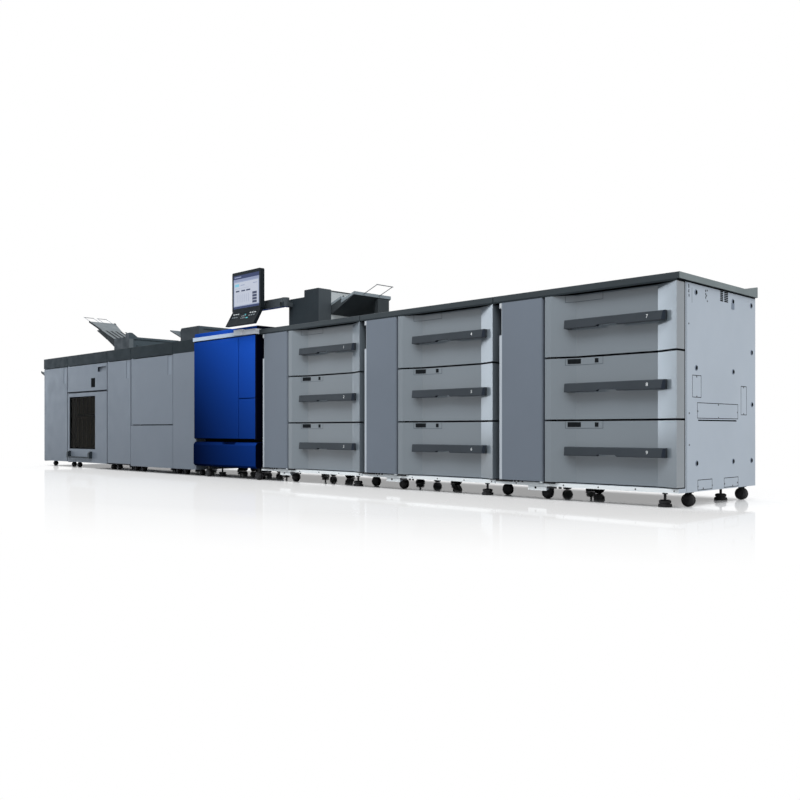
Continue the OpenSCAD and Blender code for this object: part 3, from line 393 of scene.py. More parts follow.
def finish(name):
    """The material of a named finish, made once."""
    if name in FINISHES:
        return FINISHES[name]
    p = bpy.context.scene.press_paints
    lo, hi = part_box("engine_left_door")[0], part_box("engine_upper_door")[1]
    makers = {
        "pale_panel": lambda: powder_coat(name, p.cabinet),
        "door_grey": lambda: powder_coat(name, p.door, 0.40, gloss=0.1),
        "drawer_grey": lambda: powder_coat(name, p.drawer, 0.36, 0.04, 1.0, 0.12),
        "strip_pale": lambda: powder_coat(name, shade(p.door, 1.18), 0.40, gloss=0.1),
        "strip_white": lambda: powder_coat(name, p.strip, 0.40),
        "rail_white": lambda: powder_coat(name, p.rail, 0.35, 0.02),
        "top_end_painted_sheen": lambda: moulded(name, linear(118, 127, 128), 0.45, 700),
        "underside_pale": lambda: moulded(name, shade(p.tray, 0.55), 0.5, 700),
        "arm_grey": lambda: moulded(name, linear(66, 72, 76), 0.45, 700),
        "trim_painted_shade": lambda: powder_coat(name, linear(172, 188, 206), 0.3, 0.02),
        "block_lit_side": lambda: moulded(name, shade(p.top, 2.1), 0.45, 700),
        "end_and_grip_shade": lambda: moulded(name, linear(40, 46, 55), 0.4, gloss=0.05),
        "shaded_lip": lambda: moulded(name, shade(p.top, 0.8), 0.5, gloss=0.05),
        "bay_brown": lambda: powder_coat(name, linear(92, 84, 70), 0.5, gloss=0.1),
        "handle_grey": lambda: moulded(name, p.handle, 0.42),
        "dark_top": lambda: moulded(name, shade(p.top, 1.1), 0.45, 700, gloss=0.2),
        "band_dark": lambda: moulded(name, p.band, 0.45, 700, gloss=0.02),
        "underside": lambda: moulded(name, shade(p.tray, 0.42), 0.5, 700, gloss=0.05),
        "fin_shadow": lambda: moulded(name, shade(p.tray, 0.16), 0.5, 700, gloss=0.02),
        "tray_edge_highlight": lambda: moulded(name, shade(p.tray, 1.9), 0.5, 700, gloss=0.05),
        "dark_plastic": lambda: moulded(name, p.plastic, 0.5),
        "engine_navy": lambda: powder_coat(name, shade(p.navy, 0.35), 0.35, 0.04, gloss=0.05),
        "engine_blue": lambda: metallic_blue(name, p.navy, p.blue, lo.x, hi.x, lo.z - 0.2, hi.z),
        "bright_trim": lambda: powder_coat(name, p.trim, 0.3, 0.02),
        "screen": lambda: lit(name, linear(150, 162, 190)),
        "smoked_window": lambda: smoked_sheet(name, (0.30, 0.30, 0.25)),
        "bay_rib_shade": lambda: powder_coat(name, linear(64, 58, 48), 0.5, gloss=0.05),
        "light_plastic": lambda: moulded(name, p.pale, 0.5, 800, 0.2),
        "tray_plastic": lambda: moulded(name, p.tray, 0.4, 600, 0.15),
        "zinc": lambda: bright_metal(name, (0.62, 0.64, 0.66), 0.35, (1, 12, 1)),
        "wire_steel": lambda: bright_metal(name, (0.30, 0.31, 0.33), 0.3, (1, 1, 1), 900),
        "caster_black": lambda: rubber(name, (0.016, 0.016, 0.017)),
        "foot_black": lambda: rubber(name, (0.016, 0.016, 0.017), 0.4),
        # near black, for black parts and for painted shade in gaps, slots, holes and recesses
        "black_and_painted_shade": lambda: moulded(name, (0.010, 0.011, 0.012), 0.6, 900, 0.2, ior=1.05),
        "display_dark": lambda: moulded(name, (0.012, 0.014, 0.016), 0.15, 300, 0.02, ior=1.1),
        "screw_steel": lambda: bright_metal(name, (0.5, 0.52, 0.54), 0.35, (1, 1, 1), 1200),
        "numeral_white": lambda: moulded(name, (0.75, 0.77, 0.78), 0.5, 900, 0.1),
        "screw_dark": lambda: bright_metal(name, (0.10, 0.11, 0.12), 0.4, (1, 1, 1), 1200),
        "plug_grey": lambda: moulded(name, linear(120, 130, 144), 0.45, 900, 0.1),
        "rubber_grey": lambda: rubber(name, (0.05, 0.05, 0.052)),
        "label_line": lambda: moulded(name, linear(72, 80, 86), 0.5, 900, 0.1),
        "key_grey": lambda: moulded(name, linear(196, 202, 204), 0.4, 900, 0.2),
        "bezel": lambda: moulded(name, shade(p.plastic, 0.5), 0.5, gloss=0.05),
        "key_dark": lambda: moulded(name, linear(112, 120, 124), 0.4, 900, 0.2),
        "teal_light": lambda: lit(name, linear(96, 206, 216)),
        "bar_dark": lambda: lit(name, linear(46, 60, 100)),
        "bar_blue": lambda: lit(name, linear(62, 72, 98)),
        "bar_cyan": lambda: lit(name, linear(130, 196, 220)),
        "bar_grey": lambda: lit(name, linear(140, 150, 180)),
        "bar_white": lambda: lit(name, linear(190, 197, 212)),
    }
    FINISHES[name] = makers[name]()
    return FINISHES[name]


def dress(*names):
    """Gives CAD nodes the finish of their material slot."""
    for name in names:
        node = NODES[name]
        node.data.materials.clear()
        node.data.materials.append(finish(SLOT_OF[name]))
        soften = node.modifiers.new("crisp edges", "EDGE_SPLIT")
        soften.split_angle = math.radians(12 if name[:-1] == "drawer_" else 30)
        node.data.shade_smooth()


def repaint(name, other, where):
    """Gives another finish to a CAD node's faces that the test where(centre, normal) picks."""
    data = NODES[name].data
    data.materials.append(finish(other))
    index = len(data.materials) - 1
    for face in data.polygons:
        if where(face.center, face.normal):
            face.material_index = index


def inside(point, a, b):
    """Whether a point lies in the box from corner a to corner b."""
    return all(a[k] <= point[k] <= b[k] for k in range(3))


# ---- Operators -------------------------------------------------------------

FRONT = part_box("engine_base_panel")[1].y
"""Y of the cabinets' front sheets."""


class DressCabinets(Operator):
    """Paint the cabinets, doors, worktops, top covers and trays"""

    bl_idname = "press.dress_cabinets"
    bl_label = "Paint cabinets"

    def execute(self, context):
        dress(*NODES)
        self.feeders()
        self.engine()
        self.finishing()
        return {"FINISHED"}

    def feeders(self):
        for i in (1, 2, 3):
            cabinet = f"feeder_cabinet_{i}"
            # painted shade: the front sheet seen in the gaps between the doors is made near-black
            repaint(cabinet, "black_and_painted_shade", lambda c, n: n.y < -0.9 and abs(c.y - FRONT) < 0.002)
            repaint(cabinet, "rail_white", lambda c, n: c.y < FRONT - 0.03 and n.y < -0.5 and c.z < 0.088)
            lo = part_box(f"feeder_door_{i}")[0]
            repaint(f"feeder_door_{i}", "strip_white",
                    lambda c, n: c.x < lo.x + 0.0185 and c.y < lo.y + 0.013)
            # painted shade: the walls of each door's grip pocket are made near-black
            repaint(f"feeder_door_{i}", "black_and_painted_shade",
                    lambda c, n: c.x < lo.x + 0.0145 and lo.y + 0.0022 < c.y < lo.y + 0.0145 and n.y < 0.5)
        # painted shade: the slanted end faces of the handles take a dark blue-grey
        for k in range(1, 10):
            repaint(f"drawer_handle_{k}", "end_and_grip_shade", lambda c, n: 0.3 < n.x < 0.8)
        # painted shade: the pans and stiffeners between the rails are in the dark and take the black of the
        # casters
        for i in (1, 2, 3):
            repaint(f"feeder_cabinet_{i}", "caster_black", lambda c, n: c.z < 0.0665 and c.y > FRONT - 0.02)
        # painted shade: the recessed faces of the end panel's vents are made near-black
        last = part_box("feeder_cabinet_3")[1].x
        repaint("feeder_cabinet_3", "black_and_painted_shade", lambda c, n: last - 0.0085 < c.x < last - 0.0004)
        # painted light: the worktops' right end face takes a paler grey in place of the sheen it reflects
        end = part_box("worktops")[1].x
        repaint("worktops", "top_end_painted_sheen", lambda c, n: n.x > 0.9 and c.x > end - 0.001)

    def engine(self):
        # painted shade: the front sheet seen in the gaps between the doors is made near-black
        repaint("engine_cabinet", "black_and_painted_shade", lambda c, n: n.y < -0.9 and abs(c.y - FRONT) < 0.002)
        # painted shade: the doors' and panels' faces towards the feeders, in the narrow gap, take a
        # near-black navy
        for name in ("engine_upper_door", "engine_lower_door"):
            repaint(name, "engine_navy", lambda c, n: n.x > 0.5)
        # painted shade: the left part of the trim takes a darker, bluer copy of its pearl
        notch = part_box("engine_upper_door")[0].x - 0.04
        repaint("engine_trim", "trim_painted_shade", lambda c, n: c.x < notch)
        for name in ("engine_base_panel", "engine_top_cover"):
            repaint(name, "engine_navy", lambda c, n: n.x > 0.9)

    def finishing(self):
        # painted shade: the front sheet seen in the gaps between the doors is made near-black
        for unit in ("finisher", "stacker", "folder", "punch"):
            repaint(f"{unit}_cabinet", "black_and_painted_shade", lambda c, n: n.y < -0.9 and abs(c.y - FRONT) < 0.002)
        # painted shade: a dark strip along the lower edge of the folder door and of the stacker cover stands
        # for the shade in the gap below
        for door in ("folder_door", "stacker_cover"):
            lo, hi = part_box(door)
            edge = bmesh.new()
            slab(edge, (lo.x + 0.001, lo.y - 0.0004, lo.z + 0.0002),
                 (hi.x - 0.001, lo.y + 0.001, lo.z + 0.0075))
            keep(edge, f"{door}_edge", finish("black_and_painted_shade"), BODY_OF[door], smooth=False)
        for unit in ("finisher", "folder", "punch"):
            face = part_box(f"{unit}_door")[0].y
            repaint(f"{unit}_door", "strip_pale",
                    lambda c, n: n.y < -0.9 and face + 0.001 < c.y < face + 0.004)
        lo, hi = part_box("stacker_cabinet")
        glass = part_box("stacker_window")
        repaint("stacker_cabinet", "bay_brown",
                lambda c, n: lo.x + 0.01 < c.x < hi.x - 0.02 and FRONT + 0.002 < c.y < hi.y - 0.01
                and glass[0].z - 0.08 < c.z < glass[1].z + 0.03)
        # painted shade: the platform's front and bottom faces are made near-black
        repaint("stacking_platform", "black_and_painted_shade", lambda c, n: n.y < -0.9 or n.z < -0.9)
        lo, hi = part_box("stacker_cover")
        grip = ((hi.x - 0.170, lo.y + 0.001, hi.z - 0.075), (hi.x - 0.008, lo.y + 0.0165, hi.z - 0.022))
        # painted shade: the upper and left walls of the cover's grip pocket are darkened
        repaint("stacker_cover", "end_and_grip_shade",
                lambda c, n: inside(c, *grip) and (n.z < -0.5 or n.x > 0.5))
        sensor = ((hi.x - 0.300, lo.y + 0.0005, lo.z + 0.030), (hi.x - 0.210, lo.y + 0.0035, lo.z + 0.122))
        repaint("stacker_cover", "black_and_painted_shade", lambda c, n: inside(c, *sensor))
        repaint("top_covers", "band_dark", lambda c, n: True)
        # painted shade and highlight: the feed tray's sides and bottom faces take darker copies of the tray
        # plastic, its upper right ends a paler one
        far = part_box("manual_feed_tray")[1]
        repaint("manual_feed_tray", "underside", lambda c, n: -0.3 < n.z < 0.3)
        repaint("manual_feed_tray", "underside_pale", lambda c, n: n.z <= -0.3)
        repaint("manual_feed_tray", "tray_edge_highlight", lambda c, n: n.x > 0.8 and c.z > far.z - 0.06)
        repaint("output_trays", "fin_shadow", lambda c, n: n.y < -0.9 or n.z < -0.9)
        # painted light: the blocks' faces towards the right, and the output block's upper faces, take a
        # paler grey
        repaint("output_block", "block_lit_side", lambda c, n: n.x > 0.3 or n.z > 0.3)
        repaint("relay_block", "block_lit_side", lambda c, n: n.x > 0.3)
        repaint("screen_housing", "bezel", lambda c, n: True)
        repaint("key_panel", "bezel", lambda c, n: True)
        # painted light: the pedestal's sides facing right take the paler grey of the arm
        repaint("panel_pedestal", "arm_grey", lambda c, n: n.x > 0.5)
        repaint("panel_arm", "arm_grey", lambda c, n: True)


class FitDrawers(Operator):
    """Fit each drawer's label, display and number"""

    bl_idname = "press.fit_drawers"
    bl_label = "Drawer fittings"

    def execute(self, context):
        sizes = context.scene.press_sizes
        for k in range(1, 10):
            lo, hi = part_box(f"drawer_{k}")
            body = BODY_OF[f"drawer_{k}"]
            self.label(k, lo, hi.z, body, sizes.line)
            self.number(k, body, sizes.numeral)
        return {"FINISHED"}

    def face(self, lo, x0, x1):
        """Places along the hollowed front between two distances from its left edge."""
        turn = 0.146
        y = [lo.y + 0.044 - max(0.0, turn - x) * 0.044 / 0.111 for x in (x0, x1)]
        mid = [(lo.x + turn, lo.y + 0.044)] if x0 < turn < x1 else []
        return [(lo.x + x0, y[0]), *mid, (lo.x + x1, y[1])]

    def label(self, k, lo, top, body, line):
        """The outlined panel under the upper edge, and on lower drawers its display and button."""
        lines = bmesh.new()
        low = top - 0.034
        skin(lines, self.face(lo, 0.098, 0.293), low, low + line, 0.0005)
        for x in (0.098, 0.293 - line):
            skin(lines, self.face(lo, x, x + line), low + line, top - 0.0005, 0.0005)
        keep(lines, f"drawer_label_{k}", finish("label_line"), body, smooth=False)
        if k % 3 != 1:
            shown = bmesh.new()
            skin(shown, self.face(lo, 0.109, 0.173), top - 0.027, top - 0.004, 0.0012)
            skin(shown, self.face(lo, 0.250, 0.268), top - 0.026, top - 0.006, 0.0018)
            keep(shown, f"drawer_display_{k}", finish("display_dark"), body, smooth=False)

    def number(self, k, body, height):
        """The tray's number near the right end of its handle."""
        lo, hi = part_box(f"drawer_handle_{k}")
        text = bpy.data.curves.new(f"tray_number_{k}", "FONT")
        text.body = str(k)
        text.size = height
        text.extrude = 0.0002
        text.align_x = "CENTER"
        text.align_y = "CENTER"
        piece = bpy.data.objects.new(f"tray_number_{k}", text)
        bpy.context.scene.collection.objects.link(piece)
        text.materials.append(finish("numeral_white"))
        piece.matrix_world = (Matrix.Translation((hi.x - 0.084, lo.y + 0.0012, (lo.z + hi.z) / 2))
                              @ Matrix.Rotation(math.radians(85.2), 4, "X"))
        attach(piece, body)


class FitFeeders(Operator):
    """Fit the tall doors' latches and the screws and plugs of the end panel"""

    bl_idname = "press.fit_feeders"
    bl_label = "Feeder fittings"

    def execute(self, context):
        for i in (1, 2, 3):
            lo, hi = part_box(f"feeder_door_{i}")
            latch = bmesh.new()
            slab(latch, (lo.x + 0.003, lo.y + 0.0012, hi.z - 0.024),
                 (lo.x + 0.014, lo.y + 0.004, hi.z - 0.004), 0.001)
            keep(latch, f"door_latch_{i}", finish("screw_steel"), BODY_OF[f"feeder_door_{i}"])
        self.end_panel(context.scene.press_sizes.screw / 2)
        self.rear(context.scene.press_sizes.screw / 2)
        self.rails()
        return {"FINISHED"}

    def end_panel(self, r):
        """Screws, cup plugs and seams of the right end panel, in a maker's plain pattern."""
        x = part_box("feeder_cabinet_3")[1].x
        screws = bmesh.new()
        for y, z in ((31, 801), (30, 940), (30, 968), (208, 916), (208, 964), (200, 940),
                     (35, 411), (36, 273), (105, 573), (106, 485), (588, 542), (590, 414),
                     (319, 453), (116, 421), (521, 421),
                     (319, 393), (117, 89), (168, 78), (256, 88), (383, 89), (469, 77), (521, 89)):
            disc(screws, (x, FRONT + y * MM, z * MM), (1, 0, 0), r, 0.0012, r * 0.8)
        keep(screws, "end_panel_screws", finish("screw_dark"), "frame")
        # painted shade: a dark disc set off to one side in each cup plug stands for the shade in its hollow
        cups, wells = bmesh.new(), bmesh.new()
        places = [(98, 944), (676, 943), (101, 612), (475, 612), (681, 715), (685, 462), (106, 191),
                  (475, 191), (679, 190), (471, 942)]
        for y, z in places:
            at = Vector((x, FRONT + y * MM, z * MM))
            disc(cups, at, (1, 0, 0), 0.0135, 0.0016, 0.012, 28)
            disc(wells, at + Vector((0.0016, 0.002, 0)), (1, 0, 0), 0.0095, 0.0004, 0.0092, 28)
        slab(cups, (x, FRONT + 0.456, 0.905), (x + 0.0014, FRONT + 0.486, 0.935), 0.0006)
        keep(cups, "end_panel_plugs", finish("plug_grey"), "frame")
        keep(wells, "end_panel_plug_wells", finish("black_and_painted_shade"), "frame", smooth=False)
        # painted shade: dark sheets on the slots and vents, and along the gap under the worktop
        slots = bmesh.new()
        for y, z, h in ((28, 956, 13), (29, 936, 15), (30, 918, 12),
                        (189, 926, 10), (189, 941, 10), (189, 956, 10)):
            slab(slots, (x, FRONT + y * MM, z * MM), (x + 0.0005, FRONT + (y + 6) * MM, (z + h) * MM))
        for y, w in ((338, 29), (379, 39)):
            for k in range(6):
                slab(slots, (x, FRONT + y * MM, (931 + k * 8.4) * MM),
                     (x + 0.0005, FRONT + (y + w) * MM, (937 + k * 8.4) * MM))
        slab(slots, (x, FRONT - 0.072, 0.9798), (x + 0.0005, FRONT + 0.720, 0.9848))
        keep(slots, "end_panel_slots", finish("black_and_painted_shade"), "frame", smooth=False)
        seam = bmesh.new()
        slab(seam, (x, FRONT + 0.0105, 0.070), (x + 0.0004, FRONT + 0.0125, 0.984))
        slab(seam, (x, FRONT + 0.060, 0.895), (x + 0.0004, FRONT + 0.0615, 0.960))
        keep(seam, "end_panel_seams", finish("label_line"), "frame", smooth=False)

    def rear(self, r):
        """Screws down both sides of every rear panel, and a louvred vent low on each wide one."""
        screws, louvres = bmesh.new(), bmesh.new()
        for name in [n for n in NODES if "_cabinet" in n]:
            lo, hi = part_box(name)
            y = max(v.co.y for v in NODES[name].data.vertices)
            for x in (lo.x + 0.022, (lo.x + hi.x) / 2, hi.x - 0.022):
                for z in (0.11, 0.32, 0.53, 0.74, 0.95):
                    disc(screws, (x, y, z), (0, 1, 0), r, 0.0012, r * 0.8)
            # painted shade: each louvre is a near-black strip for the shade in its opening
            if hi.x - lo.x > 0.7:
                for k in range(7):
                    slab(louvres, (lo.x + 0.10, y, 0.17 + k * 0.014),
                         (lo.x + 0.32, y + 0.001, 0.176 + k * 0.014))
        keep(screws, "rear_screws", finish("screw_dark"), "frame")
        keep(louvres, "rear_louvres", finish("black_and_painted_shade"), "frame", smooth=False)

    def rails(self):
        """Fixing screws in the base rails and the dark edges of the brackets over them."""
        screws, stops, holes = bmesh.new(), bmesh.new(), bmesh.new()
        for i in (1, 2, 3):
            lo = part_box(f"feeder_cabinet_{i}")[0]
            rail_y = FRONT - 0.060
            for x in (0.130, 0.41, 0.60, 0.79, 0.975):
                disc(screws, (lo.x + x, rail_y, 0.075), (0, -1, 0), 0.004, 0.001, 0.0032, 14)
            # painted shade: a dark disc stands for the shade in a hole of the rail
            disc(holes, (lo.x + 0.245, FRONT - 0.056, 0.057), (0, -1, 0), 0.006, 0.0008, 0.0055, 16)
            for x0, x1, z0 in ((0.004, 0.110, 0.083), (0.118, 0.128, 0.083), (0.140, 0.150, 0.083),
                               (0.165, 0.175, 0.083), (0.292, 0.365, 0.083), (0.318, 0.372, 0.0605),
                               (0.385, 0.400, 0.0605), (0.412, 0.424, 0.0605)):
                slab(stops, (lo.x + x0, rail_y - 0.004, z0 - 0.003),
                     (lo.x + x1, rail_y + 0.001, z0 + 0.0062), 0.0005)
        keep(screws, "rail_screws", finish("screw_dark"), "frame")
        keep(stops, "rail_brackets", finish("caster_black"), "frame")
        keep(holes, "rail_holes", finish("black_and_painted_shade"), "frame", smooth=False)


class FitStacker(Operator):
    """Fit the stacker's window frame, the ribs in its bay and a dark bar of painted shade beside its
    platform
    """

    bl_idname = "press.fit_stacker"
    bl_label = "Stacker fittings"

    def execute(self, context):
        lo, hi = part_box("stacker_window")
        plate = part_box("stacking_platform")
        wall = plate[0].x - 0.006
        # painted shade: the ribs take a darker copy of the bay's brown, and a near-black bar fills the gap
        # beside the platform
        ribs, rail = bmesh.new(), bmesh.new()
        for i in range(9):
            y = FRONT + 0.016 + i * 0.040
            slab(ribs, (wall, y, lo.z - 0.05), (wall + 0.0055, y + 0.012, hi.z + 0.010), 0.001)
        slab(rail, (wall, FRONT + 0.004, plate[0].z), (wall + 0.0058, plate[1].y, plate[1].z), 0.001)
        keep(ribs, "bay_ribs", finish("bay_rib_shade"), "frame")
        keep(rail, "bay_gap_shade", finish("black_and_painted_shade"), "frame")
        band = bmesh.new()
        slab(band, (lo.x + 0.001, hi.y + 0.0004, lo.z + 0.001), (lo.x + 0.088, hi.y + 0.0016, hi.z - 0.001))
        slab(band, (lo.x + 0.088, hi.y + 0.0004, lo.z + 0.001),
             (hi.x - 0.001, hi.y + 0.0016, lo.z + 0.020))
        keep(band, "window_band", finish("black_and_painted_shade"), BODY_OF["stacker_window"],
             smooth=False)
        frame_bars = bmesh.new()
        y = lo.y - 0.0103
        for a, b in (((lo.x + 0.0037, lo.z + 0.0037), (hi.x - 0.0037, lo.z + 0.010)),
                     ((lo.x + 0.0037, hi.z - 0.010), (hi.x - 0.0037, hi.z - 0.0037)),
                     ((lo.x + 0.0037, lo.z + 0.010), (lo.x + 0.010, hi.z - 0.010)),
                     ((hi.x - 0.010, lo.z + 0.010), (hi.x - 0.0037, hi.z - 0.010))):
            slab(frame_bars, (a[0], y + 0.003, a[1]), (b[0], y + 0.0102, b[1]))
        keep(frame_bars, "window_seal", finish("black_and_painted_shade"), BODY_OF["stacker_window"],
             smooth=False)
        return {"FINISHED"}


class FitTops(Operator):
    """Fit the strip under the worktops' front, the feed unit's lid and rollers, the feed tray's edges, the
    output tray's dark strips and the block's edge
    """

    bl_idname = "press.fit_tops"
    bl_label = "Covers and lids"

    def execute(self, context):
        self.feed_edges()
        self.tray_slots()
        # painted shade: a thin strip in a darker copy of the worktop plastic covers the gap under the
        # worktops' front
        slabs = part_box("worktops")
        shaded_lip = bmesh.new()
        slab(shaded_lip, (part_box("feeder_cabinet_1")[0].x, slabs[0].y + 0.0004, slabs[0].z - 0.0074),
             (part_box("feeder_cabinet_3")[1].x, slabs[0].y + 0.0070, slabs[0].z))
        keep(shaded_lip, "worktop_lip", finish("shaded_lip"), "frame", smooth=False)
        lo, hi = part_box("manual_feed_unit")
        lid = bmesh.new()
        slab(lid, (lo.x, lo.y, hi.z), (hi.x + 0.004, hi.y - 0.002, hi.z + 0.006), 0.0015)
        keep(lid, "feed_lid", finish("dark_top"), "frame")
        rollers = bmesh.new()
        for y in (0.22, 0.36, 0.50):
            disc(rollers, (hi.x - 0.001, lo.y + y * 0.5, hi.z - 0.022), (1, 0, 0), 0.008, 0.003, 0.007)
        keep(rollers, "feed_rollers", finish("rubber_grey"), "frame")
        # painted highlight: a thin pale line near the output block's right edge
        lo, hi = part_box("output_block")
        edge = bmesh.new()
        x = hi.x - 0.011
        slab(edge, (x, lo.y + 0.001, lo.z + 0.002), (x + 0.0012, lo.y + 0.040, 1.140), 0.0004)
        keep(edge, "block_edge", finish("tray_plastic"), "frame")
        return {"FINISHED"}

    def tray_slots(self):
        """Painted shade: dark strips between the ridges on the lower part of the top output tray."""
        tray = NODES["output_trays"].data
        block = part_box("output_block")[0]
        faces = [f for f in tray.polygons
                 if f.normal.z > 0.3 and f.normal.x > 0.2 and f.center.x > block.x - 0.9]
        top = max(faces, key=lambda f: f.area)
        places = [tray.vertices[i].co for i in top.vertices]
        y0, y1 = min(v.y for v in places), max(v.y for v in places)
        low, high = min(places, key=lambda v: v.z), max(places, key=lambda v: v.z)
        run = Vector((high.x - low.x, 0, high.z - low.z))
        lift = top.normal * 0.0012
        slots = bmesh.new()
        for k in range(5):
            y = y0 + (y1 - y0) * (k + 0.6) / 5.2
            a, b = Vector((low.x, y, low.z)) + run * 0.06, Vector((low.x, y, low.z)) + run * 0.52
            corners = [a, b, b + Vector((0, 0.018, 0)), a + Vector((0, 0.018, 0))]
            under = [slots.verts.new(v) for v in corners]
            over = [slots.verts.new(v + lift) for v in corners]
            slots.faces.new(under)
            slots.faces.new(over[::-1])
            for i in range(4):
                j = (i + 1) % 4
                slots.faces.new((under[i], over[i], over[j], under[j]))
        bmesh.ops.recalc_face_normals(slots, faces=slots.faces)
        keep(slots, "tray_slots", finish("fin_shadow"), BODY_OF["output_trays"], smooth=False)

    def feed_edges(self):
        """Painted highlights: pale edges along the two stages of the feed tray."""
        lo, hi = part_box("manual_feed_tray")
        z0, reach = lo.z + 0.104, hi.x - lo.x
        rise = (hi.z - lo.z - 0.120) / reach
        edges = bmesh.new()
        for x0, x1, top in ((0.0, reach * 0.42, 0.044), (reach * 0.44, reach - 0.001, 0.016)):
            ends = [(lo.x + x0, z0 + top + x0 * rise), (lo.x + x1, z0 + top + x1 * rise)]
            low = [edges.verts.new((x, y, z - 0.016)) for x, z in ends for y in (lo.y - 0.001, lo.y + 0.002)]
            high = [edges.verts.new((x, y, z)) for x, z in ends for y in (lo.y - 0.001, lo.y + 0.002)]
            for face in ((low[0], low[2], high[2], high[0]), (low[3], low[1], high[1], high[3]),
                         (low[0], low[1], low[3], low[2]), (high[0], high[2], high[3], high[1]),
                         (low[0], high[0], high[1], low[1]), (low[2], low[3], high[3], high[2])):
                edges.faces.new(face)
        keep(edges, "feed_tray_edges", finish("tray_edge_highlight"), "frame", smooth=False)


class FitScreen(Operator):
    """Fit the operator's screen picture, keys and lamps"""

    bl_idname = "press.fit_screen"
    bl_label = "Screen and keys"

    def execute(self, context):
        lo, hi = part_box("screen_glass")
        body = BODY_OF["screen_glass"]
        y = lo.y - 0.0004
        w, h = hi.x - lo.x, hi.z - lo.z

        def area(name, colour, cells, step=0.0):
            bm = bmesh.new()
            for u0, v0, u1, v1 in cells:
                slab(bm, (lo.x + u0 * w, y - step, lo.z + v0 * h),
                     (lo.x + u1 * w, y - step + 0.0003, lo.z + v1 * h))
            keep(bm, name, finish(colour), body, smooth=False)

        area("screen_bars", "bar_dark", [(0.0, 0.885, 1.0, 1.0), (0.0, 0.0, 1.0, 0.065)])
        area("screen_strip", "bar_grey", [(0.0, 0.82, 1.0, 0.875), (0.04, 0.93, 0.30, 0.96)], 0.0002)
        area("screen_field", "bar_white", [(0.03, 0.09, 0.97, 0.79)])
        area("screen_cyan", "bar_cyan", [(0.05, 0.66, 0.22, 0.74)], 0.0003)
        area("screen_blocks", "bar_blue",
             [(0.09, 0.50, 0.23, 0.545), (0.31, 0.50, 0.46, 0.545), (0.50, 0.50, 0.66, 0.545)]
             + [(0.74, 0.11 + 0.088 * i, 0.91, 0.18 + 0.088 * i) for i in range(4)], 0.0003)
        area("screen_lines", "bar_grey",
             [(0.14 + 0.075 * i, 0.18, 0.148 + 0.075 * i, 0.42) for i in range(7)]
             + [(0.28, 0.68, 0.44, 0.70), (0.76, 0.69, 0.92, 0.71), (0.05, 0.60, 0.60, 0.605)], 0.0003)
        self.keys(context.scene.press_sizes.key)
        return {"FINISHED"}

    def keys(self, size):
        """Rows of keys and one lamp on the sloped key panel."""
        lo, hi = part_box("key_panel")
        body = BODY_OF["key_panel"]
        run = Vector((0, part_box("screen_housing")[0].y - lo.y, hi.z - lo.z))
        up = run.normalized()
        out = Vector((0, -run.z, run.y)).normalized()
        turn = Matrix((Vector((1, 0, 0)), up, -out)).transposed().to_4x4()
        foot = Vector(((lo.x + hi.x) / 2, lo.y, lo.z)) - out * 0.003

        def cap(bm, u, v, w, h, t=0.0022):
            at = foot + Vector((u, 0, 0)) + up * v + out * (t / 2)
            made = bmesh.ops.create_cube(
                bm, size=1.0, matrix=Matrix.Translation(at) @ turn @ Matrix.Diagonal((w, h, t, 1)))
            edges = {e for vert in made["verts"] for e in vert.link_edges}
            bmesh.ops.bevel(bm, geom=list(edges), offset=0.0006, segments=1, affect="EDGES")

        pale, dark, lamps = bmesh.new(), bmesh.new(), bmesh.new()
        for row in range(4):
            for col in range(3):
                cap(dark, -0.022 + col * size * 1.6, 0.026 + row * size * 1.55, size, size * 0.8)
        for i in range(3):
            cap(pale, -0.128 + i * 0.024, 0.098, 0.016, 0.006)
            cap(dark, -0.128 + i * 0.024, 0.072, 0.016, 0.008)
            cap(pale, 0.062 + i * 0.026, 0.098, 0.017, 0.007)
            cap(dark, 0.062 + i * 0.026, 0.076, 0.017, 0.009)
        cap(pale, -0.125, 0.030, 0.014, 0.014)
        cap(pale, 0.075, 0.048, 0.022, 0.010)
        cap(lamps, 0.044, 0.058, 0.020, 0.007, 0.0026)
        cap(lamps, 0.046, 0.034, 0.024, 0.012, 0.0026)
        cap(lamps, 0.010, 0.088, 0.012, 0.005, 0.0026)
        keep(pale, "key_caps_pale", finish("key_grey"), body)
        keep(dark, "key_caps_dark", finish("key_dark"), body)
        keep(lamps, "key_lamps", finish("teal_light"), body)


FLOOR_TONE = (0.80, 0.80, 0.80, 1)
BOUNCE_TONE = (0.21, 0.215, 0.22, 1)
"""The floor's paint to the eye, and as it throws light back on the press."""

SHADOW_REACH = (5.2, 3.0)
"""Half length and half width in metres of the oval in which the floor keeps shadows."""

LAMPS = (
    # name, place, aim, size, radiance, colour
    ("key", (2.0, -3.6, 5.2), (1.6, 0, 0.6), (8.0, 2.4), 5.0, (1, 1, 1)),
    ("left_near", (-30.0, -9.6, 4.4), (0, 0, 0.6), (4.4, 8.8), 7.4, (0.75, 0.87, 1.0)),
    ("left_far", (-30.0, -1.9, 4.4), (0, 0, 0.6), (11.0, 8.8), 2.4, (0.75, 0.87, 1.0)),
)
"""One broad soft key above the aisle and two far softboxes beyond the left end."""


